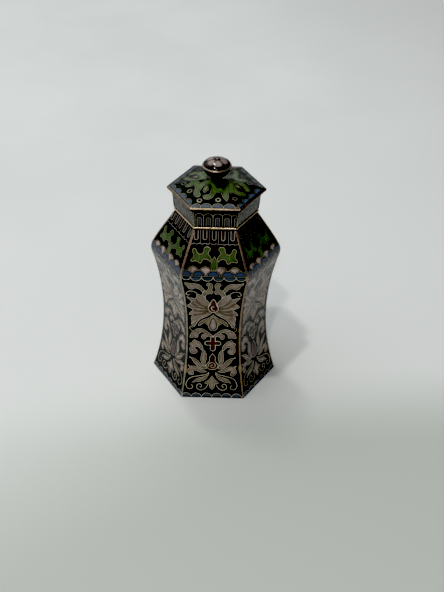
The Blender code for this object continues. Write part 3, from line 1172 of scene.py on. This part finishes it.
def lid_foliage(drawing):
    """Long fingers of green that hang from two trunks."""
    outer = trace(
        [(-10.7, -0.2), (-11.9, -1.1), (-13.2, -2.3), (-13.5, -3.2), (-12.4, -3.8), (-10.8, -3.5),
         (-9.7, -2.9)],
        [(-9.1, -4.6), (-9.2, -6.4), (-9.6, -8.4), (-9.3, -10.5), (-8.3, -11.7), (-7.2, -11.6),
         (-6.8, -10.6), (-7.3, -9.2), (-7.2, -7.8), (-6.4, -6.2), (-5.4, -4.6)],
        [(-4.2, -3.6), (-3.0, -4.6), (-2.3, -6.0)],
        [(-2.0, -7.6), (-2.4, -9.3), (-3.3, -10.8), (-4.5, -11.1), (-5.4, -11.5), (-5.3, -12.6),
         (-4.2, -13.4), (-2.8, -13.3), (-1.5, -12.3), (-0.7, -10.8), (0.1, -9.7), (1.2, -9.6), (2.2, -9.2)],
        [(2.7, -11.0), (3.6, -12.9), (4.7, -14.2)],
        [(5.3, -12.8), (5.5, -11.0), (5.2, -9.2)],
        [(6.3, -9.3), (7.3, -8.7)],
        [(8.7, -9.4), (10.4, -9.8), (11.9, -9.3), (12.7, -8.2), (12.3, -7.1), (11.2, -6.9),
         (9.9, -7.0), (8.8, -5.9), (7.9, -4.5)],
        [(7.5, -3.0), (7.9, -1.7), (8.9, -1.2)],
        [(10.3, -2.3), (11.8, -3.5), (12.3, -4.6), (12.9, -5.8), (14.1, -5.8), (14.7, -4.7),
         (14.2, -3.2), (12.9, -1.6), (11.6, -0.5), (10.9, 0.1)],
    )
    inner = trace(
        [(4.9, 0.1), (4.7, -2.4), (4.8, -4.7)],
        [(3.8, -5.2), (3.3, -6.2), (3.2, -7.5)],
        [(2.5, -6.4), (1.6, -5.9), (0.7, -6.7)],
        [(0.1, -5.2), (-0.2, -3.3), (0.1, -1.8), (0.7, -0.9), (0.3, 0.3), (-0.8, 1.2), (-2.0, 1.5)],
        [(-2.4, 0.2), (-3.4, -0.8), (-4.6, -0.8), (-5.8, -1.7), (-6.7, -2.8)],
        [(-7.6, -1.5), (-8.5, -0.2)],
    )
    drawing.cell(outer + inner, "green", 0.35, wire=0, heart=(4.0, 4.0))
    drawing.wire(outer, CURL_WIRE)
    drawing.wire(inner, CURL_WIRE)


def lid_pale_leaves(drawing):
    """Two short pale leaves that lie between the fingers."""
    long_leaf = closed_trace(
        [(-4.2, -3.7), (-5.1, -5.4), (-5.6, -7.3), (-5.6, -8.7), (-5.1, -9.7)],
        [(-3.8, -8.6), (-2.9, -6.8), (-3.2, -5.0), (-4.2, -3.7)],
    )
    short_leaf = closed_trace(
        [(8.3, -1.9), (8.0, -3.2), (8.4, -4.6), (9.4, -5.1), (10.6, -5.0)],
        [(10.6, -3.9), (9.7, -2.6), (8.3, -1.9)],
    )
    drawing.cell(long_leaf, "green", 1.0, order=1)
    drawing.cell(short_leaf, "green", 0.9, order=1)


def lid_half_drawing():
    """The leaves and rings of one half of the lid's top, from the knob to one edge."""
    drawing = Drawing("dull")
    lid_foliage(drawing)
    lid_pale_leaves(drawing)
    for centre in LID_RINGS:
        drawing.wire(circle_line(centre, LID_RING_RADIUS), LID_RING_WIRE, True)
    return drawing


def lid_edge_drawing():
    """The scallops along one edge of the lid's top."""
    drawing = Drawing("dull")
    rim_scallops(drawing, -RIM_LINE * math.tan(HALF_SIDE_ANGLE) - RIM_ROOM)
    return drawing


PETALS = 6
PETAL_ROOT = 1.25
PETAL_TIP = 5.1
PETAL_HALF_WIDTH = 1.95
PETAL_TURN = math.radians(11)
CROWN_DISC_RADIUS = 0.9


def knob_petal_drawing():
    drawing = Drawing()
    root, tip, wide = -PETAL_ROOT, -PETAL_TIP, PETAL_HALF_WIDTH
    span = tip - root
    outline = both_halves(
        [(0, root), (0.42 * wide, root + 0.05 * span), (0.78 * wide, root + 0.3 * span),
         (wide, root + 0.6 * span), (0.72 * wide, root + 0.88 * span), (0, tip)],
    )
    drawing.cell(outline, "pink", 0.0, wire=0, heart=(0.0, 0.0))
    return drawing


# Materials

def tone(red, green, blue):
    """A colour from its 0 to 255 display values."""
    shares = [value / 255 for value in (red, green, blue)]
    linear = [share / 12.92 if share <= 0.04045 else ((share + 0.055) / 1.055) ** 2.4 for share in shares]
    return (*linear, 1.0)


# Streaks in a radian round their start, in a millimetre away from it, and in a step of their shift
STREAK_SCALE = (13.0, 0.16, 1.0)

# The fine relief of every skin
RELIEF = {"Distance": 0.02 * MM, "Strength": 0.25}


class Shader:
    """A principled material with helpers for its procedural parts."""

    def __init__(self, name, roughness, metallic=0.0, specular=0.5):
        self.material = bpy.data.materials.new(name)
        self.material.use_nodes = True
        self.tree = self.material.node_tree
        self.surface = self.tree.nodes["Principled BSDF"]
        self.surface.inputs["Roughness"].default_value = roughness
        self.surface.inputs["Metallic"].default_value = metallic
        self.surface.inputs["Specular IOR Level"].default_value = specular
        self.place = self.node("TexCoord").outputs["Object"]

    def node(self, kind, numbers={}, sources={}, **settings):
        """A node with the given settings, numbers on its sockets and links into them."""
        node = self.tree.nodes.new("ShaderNode" + kind)
        for name, value in settings.items():
            setattr(node, name, value)
        for socket, value in numbers.items():
            node.inputs[socket].default_value = value
        for socket, source in sources.items():
            self.tree.links.new(source, node.inputs[socket])
        return node

    def noise(self, scale, detail=3.0):
        numbers = {"Scale": scale, "Detail": detail, "Roughness": 0.55}
        return self.node("TexNoise", numbers, {"Vector": self.place}).outputs["Fac"]

    def attribute(self, name, output="Fac"):
        return self.node("Attribute", attribute_name=name).outputs[output]

    def streaks(self):
        """Fine brush streaks that run out from where each cell's streaks start."""
        place = self.attribute("streak", "Vector")
        scaled = self.node("VectorMath", {1: STREAK_SCALE}, {0: place}, operation="MULTIPLY")
        numbers = {"Scale": 1.0, "Detail": 3.0}
        return self.node("TexNoise", numbers, {"Vector": scaled.outputs["Vector"]}).outputs["Fac"]

    def spread(self, value, low, high, to_low=0.0, to_high=1.0):
        """Rises smoothly from one number to another while the value goes from low to high."""
        numbers = {"From Min": low, "From Max": high, "To Min": to_low, "To Max": to_high}
        node = self.node("MapRange", numbers, {"Value": value}, interpolation_type="SMOOTHSTEP")
        return node.outputs["Result"]

    def ramp(self, direction, low, high):
        """Rises from 0 to 1 along a direction, between two distances from the origin."""
        node = self.node("VectorMath", {1: direction}, {0: self.place}, operation="DOT_PRODUCT")
        return self.spread(node.outputs["Value"], low, high)

    def mixed(self, share, first, second):
        """A mix of two colours, each a node's output or its display values."""
        node = self.node("Mix", sources={"Factor": share}, data_type="RGBA")
        for value, socket in ((first, node.inputs[6]), (second, node.inputs[7])):
            if isinstance(value, tuple):
                socket.default_value = tone(*value)
            else:
                self.tree.links.new(value, socket)
        return node.outputs[2]

    def finished(self, **sources):
        """The material, with these outputs on its surface's sockets."""
        for name, source in sources.items():
            self.tree.links.new(source, self.surface.inputs[name.replace("_", " ")])
        return self.material

    def skin(self, colour, roughness, height):
        relief = self.node("Bump", RELIEF, {"Height": height}).outputs["Normal"]
        return self.finished(Base_Color=colour, Roughness=roughness, Normal=relief)


def enamel(name, base, cloudy, fleck, shade=None, edge=None, streak=None, specular=0.36, dullness=1.0):
    """Glossy fused enamel: clouded colour with brush streaks, painted shade along its edges by the wires,
    with small flecks and a slightly wavy skin. A cell's tint turns it towards its shade, or below 0 towards
    its edge colour, the colour of that painted shade."""
    shader = Shader(name + "_enamel", 0.16, specular=specular)
    colour = shader.mixed(shader.spread(shader.noise(420), 0.35, 0.68), base, cloudy)
    if shade:
        colour = shader.mixed(shader.attribute("tint"), colour, shade)
        colour = shader.mixed(shader.spread(shader.attribute("tint"), -1.0, 0.0), edge, colour)
    if streak:
        colour = shader.mixed(shader.spread(shader.streaks(), 0.46, 0.62, 0.0, 0.8), colour, streak)
    colour = shader.mixed(shader.spread(shader.noise(2600, 2.0), 0.62, 0.74), colour, fleck)
    # Painted shade along the wires: each cell darkens towards the edge colour near its edge
    if edge:
        colour = shader.mixed(shader.spread(shader.attribute("edge"), 0.32, 0.82), edge, colour)
    roughness = shader.spread(shader.noise(700), 0.3, 0.75, 0.10 * dullness, 0.26 * dullness)
    return shader.skin(colour, roughness, shader.noise(1300))


# Height of the ridge, where the shoulder starts
SHOULDER_FOOT = 0.0685


def gilding(name, bright, worn, dark, roughness, patchy=1.0, shoulder=None, coppery=None, solder_tone=None):
    """Worn gilding with dark grime in places. A seam is coppery to the right, redder on the shoulder, and
    yellow where solder covers it."""
    shader = Shader(name, roughness, metallic=1.0)
    colour = shader.mixed(shader.spread(shader.noise(300), 0.38, 0.64), bright, worn)
    if coppery:
        colour = shader.mixed(shader.ramp((1, 0, 0), 0.0, 8 * MM), colour, coppery)
    if shoulder:
        above = shader.ramp((0, 0, 1), SHOULDER_FOOT - 2 * MM, SHOULDER_FOOT + MM)
        colour = shader.mixed(above, colour, shoulder)
    colour = shader.mixed(shader.spread(shader.noise(1300, 4.0), 0.56, 0.72), colour, dark)
    if solder_tone:
        colour = shader.mixed(shader.attribute("tint"), colour, solder_tone)
    smoothest, roughest = roughness - 0.08 * patchy, roughness + 0.16 * patchy
    patches = shader.spread(shader.noise(900), 0.3, 0.75, smoothest, roughest)
    return shader.skin(colour, patches, shader.noise(3200))


def body_enamels():
    # An enamel's edge colour, where given, is the painted shade along its wires; cells with a tint below 0
    # turn towards it as a darker enamel
    return {
        "black": enamel("black", (7, 7, 6), (12, 12, 10), (24, 20, 15), specular=0.20),
        "dusk": enamel("dusk", (60, 54, 50), (52, 48, 46), (32, 30, 28), (90, 90, 97), (22, 20, 19),
                       specular=0.15),
        "pink": enamel("pink", (176, 162, 157), (148, 132, 127), (102, 86, 79), (146, 140, 104),
                       (40, 32, 27), (108, 91, 82)),
        "blue": enamel("blue", (70, 80, 86), (74, 84, 88), (36, 44, 52), (68, 80, 106), (34, 40, 50)),
        "green": enamel("green", (70, 94, 63), (77, 100, 67), (46, 60, 38), (94, 108, 74),
                        (36, 48, 30), (60, 82, 46)),
        "red": enamel("red", (67, 48, 44), (76, 50, 45), (46, 32, 28), (86, 52, 46), (58, 40, 36)),
    }


def lid_enamels():
    # An enamel's edge colour, where given, is the painted shade along its wires; cells with a tint below 0
    # turn towards it as a darker enamel
    return {
        "lid": enamel("lid", (9, 14, 9), (16, 24, 15), (30, 36, 22), specular=0.2),
        "leaf": enamel("leaf", (68, 90, 53), (76, 96, 58), (46, 58, 38), (106, 119, 86),
                       (36, 48, 30), (50, 73, 40)),
        "rim_blue": enamel("rim_blue", (76, 89, 99), (71, 83, 97), (44, 52, 62), (70, 84, 110),
                           (26, 32, 42)),
        "knob": enamel("knob", (20, 14, 13), (28, 20, 17), (48, 33, 26), dullness=0.45),
        "mauve": enamel("mauve", (152, 142, 140), (128, 118, 116), (84, 72, 68), None,
                        (70, 60, 60), (108, 96, 95), dullness=0.6),
    }


def body_metals():
    return {
        "gilt": gilding("gilt", (234, 226, 210), (218, 204, 186), (126, 112, 92), 0.32),
        "plain": gilding("plain_gilt", (200, 193, 180), (186, 175, 162), (126, 114, 98), 0.50),
        "dull": gilding("dull_gilt", (170, 166, 143), (160, 153, 128), (120, 110, 88), 0.38),
        "vein": gilding("vein_gilt", (162, 146, 114), (146, 128, 98), (100, 84, 62), 0.42),
        "neck": gilding("neck_gilt", (160, 157, 151), (148, 141, 135), (106, 97, 90), 0.50),
        "seam": gilding("seam_gilt", (166, 160, 147), (150, 141, 124), (84, 68, 52), 0.34,
                        shoulder=(164, 143, 126), coppery=(160, 138, 116), solder_tone=(170, 150, 120)),
        "bead": gilding("bead_gilt", (200, 182, 160), (186, 165, 144), (164, 141, 120), 0.26, 0.25),
    }


def lid_metals():
    return {
        "lid_gilt": gilding("lid_gilt", (136, 134, 121), (126, 119, 105), (92, 83, 70), 0.42),
        "skirt_gilt": gilding("skirt_gilt", (190, 185, 170), (180, 170, 153), (128, 116, 100), 0.52),
        "rim": gilding("rim_gilt", (140, 129, 110), (124, 110, 92), (74, 58, 44), 0.34),
        "knob_gilt": gilding("knob_gilt", (160, 146, 134), (140, 126, 114), (100, 86, 76), 0.34, 0.3),
    }


def make_pieces(piles, materials, rows):
    for name, pile, material, slot in rows:
        make_piece(name, piles[pile], materials[material], slot)


# Pieces of the body

STRIP_HALF_WIDTH = 0.46
SHOULDER_STRIP_HALF_WIDTH = 0.70
STRIP_HEIGHT = 0.06

# Distance over which the strip broadens below the ridge, in millimetres
STRIP_BROADENING = 3

# Across the strip: shares of its half width and of its height
STRIP_PROFILE = (
    (-1.0, -0.05), (-0.92, 0.6), (-0.5, 0.9), (-0.2, 1.0), (0.2, 1.0), (0.5, 0.9), (0.92, 0.6), (1.0, -0.05))

# Lumps of solder on the front seams: the corner, and the lump's height, half length and extra half width
SOLDER_LUMPS = ((4, 14.0, 2.0, 0.40), (5, 15.0, 1.8, 0.45), (5, 36.5, 1.6, 0.12), (5, 67.0, 1.2, 0.15))

# How a hand lays a drawing on a side: the front leans a little to the left, less so at mid height, the other
# sides lean by up to LEAN either way, and small uneven shifts change over a length of 1 / SHIFT_FINENESS
FRONT_LEAN = 0.28
FRONT_LEAN_CHANGE = 0.17
FRONT_LEAN_TOP = 50
LEAN = 0.3
LEAN_LENGTH = 40
SHIFT = 0.24
SHIFT_FINENESS = 0.11
SHIFT_SEED = 7


def strip_half_width(height):
    """The strip is broader on the shoulder, above the ridge."""
    below = max(SHOULDER_FOOT - height, 0.0) / (STRIP_BROADENING * MM)
    return blend(STRIP_HALF_WIDTH, SHOULDER_STRIP_HALF_WIDTH, 1 - min(below, 1.0))


def solder(corner, height):
    """How much a seam is covered by solder here, from 0 to 1, and how much wider that makes it."""
    cover, wider = 0.0, 0.0
    for seam, middle, half_length, extra in SOLDER_LUMPS:
        if seam == corner:
            here = math.exp(-((height / MM - middle) / half_length) ** 4)
            cover = max(cover, here)
            wider = max(wider, extra * here)
    return cover, wider


def strip_section(ring, corner):
    """Half-round strip over a corner of the ring: points from one of its sides round to the other."""
    direction = SIDE_ANGLE * corner
    half_width = strip_half_width(ring.height) + solder(corner, ring.height)[1]
    centre = (ring.apothem - ring.rounding) / math.cos(HALF_SIDE_ANGLE)
    bend = HALF_SIDE_ANGLE * ring.rounding / MM
    points = []
    for share, rise in STRIP_PROFILE:
        along = share * half_width
        turn = max(-bend, min(bend, along)) / (ring.rounding / MM) if ring.rounding > TINY else 0.0
        angle = direction + turn
        straight = (along - math.copysign(min(abs(along), bend), along)) * MM
        out = ring.rounding + rise * MM * (STRIP_HEIGHT if rise > 0 else 1)
        x = centre * math.cos(direction) + out * math.cos(angle) - straight * math.sin(angle)
        y = centre * math.sin(direction) + out * math.sin(angle) + straight * math.cos(angle)
        points.append((x, y, ring.height))
    return points


def body_corner_strips(outer, materials):
    pile = Pile()
    covers = []
    for corner in range(SIDES):
        loft(pile, [strip_section(ring, corner) for ring in outer])
        for ring in outer:
            covers += [solder(corner, ring.height)[0]] * len(STRIP_PROFILE)
    pile.tints = covers
    make_piece("body_corner_strips", pile, materials["seam"], "gilt")


def hand_laid(panel, side):
    """Places a drawing on a side as a hand would: a little off its axis, with small uneven shifts."""
    offset = Vector((13.7 * side, 4.1 * side, 2.0))

    def lean(s):
        if side == 0:
            rise = min(s, FRONT_LEAN_TOP) / FRONT_LEAN_TOP
            return -FRONT_LEAN - FRONT_LEAN_CHANGE * math.cos(math.pi * rise)
        return LEAN * math.sin(1.9 * side + s / LEAN_LENGTH)

    def place(x, s):
        shift = noise.noise_vector(Vector((x * SHIFT_FINENESS, s * SHIFT_FINENESS, 0)) + offset)
        limit = panel.half_width(s) - STRIP_ROOM
        across = x + lean(s) + SHIFT * shift.x
        return max(-limit, min(limit, across)), s + SHIFT * shift.y

    return place


def body_drawings(outer, start, materials):
    """The wires and cells of all six sides. The other sides than the front have finer and duller wires."""
    noise.seed_set(SHIFT_SEED)
    piles = colour_piles()
    front = Panel(outer, 0, start)
    sides_and_shoulder = (side_drawing(front), shoulder_drawing(front))
    neck = neck_drawing(front)
    for side in range(SIDES):
        panel = Panel(outer, side, start)
        place = hand_laid(panel, side)
        side_piles = {**piles, "gilt": piles["plain"]} if side else piles
        for drawing in sides_and_shoulder:
            drawing.lay(side_piles, panel, place, PLAIN_FINENESS if side else 1.0)
        neck.lay(piles, panel, place, NECK_FINENESS if side else 1.0)
    make_pieces(piles, materials, (
        ("body_wires", "gilt", "gilt", "gilt"),
        ("side_wires", "plain", "plain", "gilt"),
        ("petal_veins", "vein", "vein", "gilt"),
        ("shoulder_wires", "dull", "dull", "gilt"),
        ("neck_wires", "neck", "neck", "gilt"),
        ("body_black_enamel", "black", "black", "black_enamel"),
        ("body_pink_enamel", "pink", "pink", "pink_enamel"),
        ("body_blue_enamel", "blue", "blue", "blue_enamel"),
        ("body_green_enamel", "green", "green", "green_enamel"),
        ("body_red_enamel", "red", "red", "red_enamel"),
        ("body_dusk_enamel", "dusk", "dusk", "black_enamel"),
    ))


def body_parts(materials):
    fine = fine_section(section_rings("jar_body"))
    foot = next(i for i, ring in enumerate(fine) if i > 2 and ring.height > 0.1 * MM and turn_at(fine, i) < 1)
    top = max(range(len(fine)), key=lambda i: (fine[i].height, fine[i].apothem))
    ground = inset(fine, foot, top)
    shell = Pile()
    loft(shell, [ring_points(ring) for ring in ground])
    make_piece("body_enamel", shell, materials["black"], "black_enamel", "jar_body")
    outer = ground[foot:top + 1]
    body_corner_strips(outer, materials)
    body_drawings(outer, fine[foot].height / MM, materials)


def collar_finish(materials):
    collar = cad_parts["neck_collar"]
    collar.data.materials[0] = materials["bead"]


# Pieces of the lid

# The gilt rim's border on top of the lid, its depth under it, and how far it stands off the enamel below
RIM_BORDER = 0.03
RIM_DEPTH = 0.4
RIM_ROOT = 0.12
RIM_GAP = 0.02

# The dome's corners are round from half way in, with this share of its apothem
DOME_ROUND_FROM = 0.5
DOME_ROUNDNESS = 0.9


def melted(dome):
    """The dome's rings with their corners rounder and rounder from the rim in to the knob."""
    rim = dome[0].apothem
    rings = []
    for ring in dome:
        inward = min((rim - ring.apothem) / rim / DOME_ROUND_FROM, 1.0)
        rounding = max(ring.rounding, DOME_ROUNDNESS * ring.apothem * inward)
        rings.append(Ring(ring.apothem, ring.height, rounding))
    return rings


def lid_rim(edge, dome, materials):
    """The gilt rim: the upper part of the rounded edge with a narrow border on top, as a closed band."""
    share = RIM_BORDER * MM / (dome[0].apothem - dome[1].apothem)
    border = edge[-1].moved(-RIM_BORDER * MM, (dome[1].height - dome[0].height) * share)
    inner_top = border.moved(-0.05 * MM, -RIM_ROOT * MM)
    inner_foot = edge[0].moved(-RIM_DEPTH * MM, RIM_GAP * MM)
    pile = Pile()
    loft(pile, [ring_points(ring) for ring in edge + [border, inner_top, inner_foot]], True)
    make_piece("lid_rim_band", pile, materials["rim"], "gilt")


def lid_top_drawings(piles, crown):
    half = lid_half_drawing()
    half.lay(piles, Top(crown))
    half.lay(piles, Top(crown, math.pi), fineness=PLAIN_FINENESS)
    edge = lid_edge_drawing()
    for side in range(SIDES):
        edge.lay(piles, Top(crown, SIDE_ANGLE * side))


def lid_skirt_drawings(piles, skirt):
    panels = [Panel(skirt, side, skirt[0].height / MM) for side in range(SIDES)]
    drawing = skirt_drawing(panels[0])
    for side, panel in enumerate(panels):
        drawing.lay(piles, panel, fineness=SKIRT_FINENESS if side else 1.0)


def lid_parts(materials):
    rings = section_rings("lid")
    widest = max(range(len(rings)), key=lambda i: rings[i].apothem)
    rim_foot, rim_top = widest - 3, widest + 3
    skirt_foot, skirt_top = rim_foot - 2, rim_foot - 1
    inside = fine_section(rings[:skirt_foot + 1])
    skirt = fine_section(rings[skirt_foot:skirt_top + 1])
    skirt = inset(skirt, 0, len(skirt) - 1)
    under_rim = [ring.moved(-RIM_GAP * MM, 0) for ring in rings[rim_foot:widest + 1]]
    dome = melted(fine_section(rings[rim_top:]))
    dome = inset(dome, 0, len(dome) - 1)
    shell, crown = Pile(), Pile()
    loft(shell, [ring_points(ring) for ring in inside[:-1] + skirt + under_rim + dome])
    make_piece("lid_enamel_shell", shell, materials["lid"], "lid_enamel", "lid")
    lid_rim(rings[widest:rim_top + 1], dome, materials)
    loft(crown, [ring_points(ring) for ring in dome])
    piles = colour_piles()
    lid_top_drawings(piles, crown)
    lid_skirt_drawings(piles, skirt)
    make_pieces(piles, materials, (
        ("lid_wires", "dull", "lid_gilt", "gilt"),
        ("skirt_wires", "gilt", "skirt_gilt", "gilt"),
        ("lid_green_enamel", "green", "leaf", "green_enamel"),
        ("lid_blue_enamel", "blue", "rim_blue", "blue_enamel"),
        ("lid_dusk_enamel", "dusk", "dusk", "black_enamel"),
    ))


# Pieces of the knob

KNOB_STEP = 0.3
CROWN_DIP = 0.25
CROWN_DIP_SPREAD = 1.15
KNOB_BORDER = 0.22
KNOB_RING_DEPTH = 0.4


def flattened(crown):
    """The crown's rings, lowered between its edge and its top so that it rises like a cone."""
    moved = []
    for index, ring in enumerate(crown):
        share = index / (len(crown) - 1)
        dip = math.sin(math.pi * min(share * CROWN_DIP_SPREAD, 1.0))
        moved.append(ring.moved(0, -CROWN_DIP * MM * dip))
    return moved


def knob_ring(edge, materials):
    """The gilt ring round the knob, with a narrow border on top, as a closed band."""
    border = edge[-1].moved(-0.04 * MM, KNOB_BORDER * MM)
    inner_top = border.moved(-KNOB_RING_DEPTH * MM, 0)
    inner_foot = edge[0].moved(-KNOB_RING_DEPTH * MM, -0.05 * MM)
    pile = Pile()
    loft(pile, [circle_points(ring) for ring in edge + [border, inner_top, inner_foot]], True)
    make_piece("knob_ring", pile, materials["knob_gilt"], "gilt")


def knob_parts(materials):
    rings = round_rings("lid_knob")
    widest = max(range(len(rings)), key=lambda i: (rings[i].apothem, -i))
    ring_foot, ring_top = widest - 1, widest + 2
    under = fine_section(rings[:ring_foot + 1], KNOB_STEP)
    crown = fine_section(rings[ring_top:], KNOB_STEP)
    crown = flattened(inset(crown, 0, len(crown) - 1))
    body = Pile()
    loft(body, [circle_points(ring) for ring in under + crown])
    make_piece("knob_body", body, materials["knob"], "knob_enamel", "lid_knob")
    knob_ring(rings[ring_foot:ring_top + 1], materials)
    piles = colour_piles()
    petal = knob_petal_drawing()
    for index in range(PETALS):
        petal.lay(piles, Top(body, PETAL_TURN + 2 * math.pi * index / PETALS))
    disc = Drawing()
    disc.cell(circle_line((0, 0), CROWN_DISC_RADIUS), "pink", 0.0, wire=0)
    disc.lay(piles, Top(body))
    make_piece("knob_petals", piles["pink"], materials["mauve"], "pink_enamel")


# Floor, light and camera

FLOOR_REACH = 3.0

# Brightness of the room on its two sides
ROOM_LEFT = 0.20
ROOM_RIGHT = 0.09

BLACK_POINT = 0.033
CAMERA_PLACE = (0.01096, -0.52627, 0.40504)
CAMERA_AIM = (0.00323, 0.0, 0.04020)
CAMERA_ROLL = math.radians(1.064)
CAMERA_LENS = 84.36
CAMERA_SENSOR = 36.0
NEAREST_SEEN = 0.01
LIGHT_AIM = Vector((0, 0, 0.05))


def linked(name, data):
    thing = bpy.data.objects.new(name, data)
    bpy.context.scene.collection.objects.link(thing)
    return thing


def floor_material():
    """Pale, with painted light and shade: a little lighter towards the back left, and greyer towards the
    front, the right and the far right as painted soft shadow and falloff of the light.
    """
    shader = Shader("floor", 0.6)
    pale = shader.mixed(shader.spread(shader.noise(9), 0.3, 0.7), (224, 229, 233), (231, 236, 239))
    # Painted light: a little lighter towards the back left
    middle = shader.mixed(shader.ramp((-0.5, 1.0, 0), 0.02, 0.30), (222, 227, 230), pale)
    # Painted falloff of the light: greyer towards the far right
    middle = shader.mixed(shader.ramp((1.0, 0.5, 0), 0.16, 0.42), middle, (213, 217, 220))
    # Painted soft shadow: greyer towards the front
    front = shader.mixed(shader.ramp((-0.1, 1.0, 0), -0.065, 0.0), (187, 194, 192), middle)
    # The painted soft shadow in front stays at the front right, and the back left keeps its lighter tone
    return shader.finished(Base_Color=shader.mixed(shader.ramp((-0.8, 1.0, 0), -0.10, 0.085), front, middle))


def pale_floor():
    mesh = bpy.data.meshes.new("floor")
    turns = ((-1, -1), (1, -1), (1, 1), (-1, 1))
    mesh.from_pydata([(x * FLOOR_REACH, y * FLOOR_REACH, 0) for x, y in turns], [], [(0, 1, 2, 3)])
    mesh.materials.append(floor_material())
    linked("floor", mesh)


def bearing(azimuth, elevation, distance):
    """A place at this distance from the jar: azimuth anticlockwise from +X, both angles in degrees."""
    turn, rise = math.radians(azimuth), math.radians(elevation)
    level = distance * math.cos(rise)
    return Vector((level * math.cos(turn), level * math.sin(turn), distance * math.sin(rise)))


def area_light(name, place, width, height, power, tint=(1, 1, 1)):
    """A light at a place, aimed at the jar: width and height in metres, power in watts."""
    data = bpy.data.lights.new(name, "AREA")
    data.shape = "RECTANGLE"
    data.size = width
    data.size_y = height
    data.energy = power
    data.color = tint
    light = linked(name, data)
    light.location = place
    light.rotation_euler = (LIGHT_AIM - Vector(place)).to_track_quat("-Z", "Y").to_euler()


def studio_room():
    """A pale room on the left that falls off to a dim one on the right."""
    world = bpy.data.worlds.new("studio")
    world.use_nodes = True
    nodes, links = world.node_tree.nodes, world.node_tree.links
    direction = nodes.new("ShaderNodeTexCoord")
    leftward = nodes.new("ShaderNodeVectorMath")
    leftward.operation = "DOT_PRODUCT"
    leftward.inputs[1].default_value = (-1.0, 0.15, 0.1)
    links.new(direction.outputs["Generated"], leftward.inputs[0])
    fall = nodes.new("ShaderNodeMapRange")
    fall.interpolation_type = "SMOOTHSTEP"
    ends = (("From Min", -0.7), ("From Max", 0.8), ("To Min", ROOM_RIGHT), ("To Max", ROOM_LEFT))
    for name, number in ends:
        fall.inputs[name].default_value = number
    links.new(leftward.outputs["Value"], fall.inputs["Value"])
    background = nodes["Background"]
    background.inputs["Color"].default_value = (0.97, 0.99, 1.0, 1.0)
    links.new(fall.outputs["Result"], background.inputs["Strength"])
    return world


def studio_light():
    """A broad window light from the left, two low walls behind the jar, and three small lamps."""
    bpy.context.scene.world = studio_room()
    area_light("left_sky", bearing(162, 56, 2.5), 4.3, 4.3, 41, tint=(0.98, 1.0, 0.99))
    area_light("back_wall", (0.0, 2.0, 0.85), 1.6, 0.55, 1.8)
    area_light("far_wall", (0.0, 2.3, 0.36), 2.6, 0.62, 1.05, tint=(0.94, 1.0, 0.95))
    area_light("ceiling_lamp", bearing(232, 71, 1.3), 0.06, 0.06, 3.5, tint=(1.0, 0.96, 0.90))
    area_light("crown_lamp", bearing(121, 70, 1.3), 0.10, 0.26, 2.1, tint=(1.0, 0.97, 0.84))
    area_light("front_lamp", bearing(265, 50, 1.3), 0.05, 0.05, 3.4, tint=(1.0, 0.93, 0.84))


def picture_tones():
    """Standard colours with a small black point, as a phone camera gives a dark glossy object."""
    view = bpy.context.scene.view_settings
    view.view_transform = "Standard"
    view.look = "None"
    view.use_curve_mapping = True
    view.curve_mapping.black_level = (BLACK_POINT, BLACK_POINT, BLACK_POINT)
    view.curve_mapping.update()


def photo_camera():
    data = bpy.data.cameras.new("camera")
    data.lens = CAMERA_LENS
    data.sensor_width = CAMERA_SENSOR
    data.clip_start = NEAREST_SEEN
    camera = linked("camera", data)
    forward = (Vector(CAMERA_AIM) - Vector(CAMERA_PLACE)).normalized()
    level = forward.cross(Vector((0, 0, 1))).normalized()
    upright = level.cross(forward)
    right = level * math.cos(CAMERA_ROLL) + upright * math.sin(CAMERA_ROLL)
    turn = Matrix((right, right.cross(forward), -forward)).transposed()
    camera.matrix_world = Matrix.Translation(CAMERA_PLACE) @ turn.to_4x4()
    bpy.context.scene.camera = camera


def build():
    materials = {**body_enamels(), **lid_enamels(), **body_metals(), **lid_metals()}
    body_parts(materials)
    collar_finish(materials)
    lid_parts(materials)
    knob_parts(materials)
    pale_floor()
    studio_light()
    picture_tones()
    photo_camera()


build()
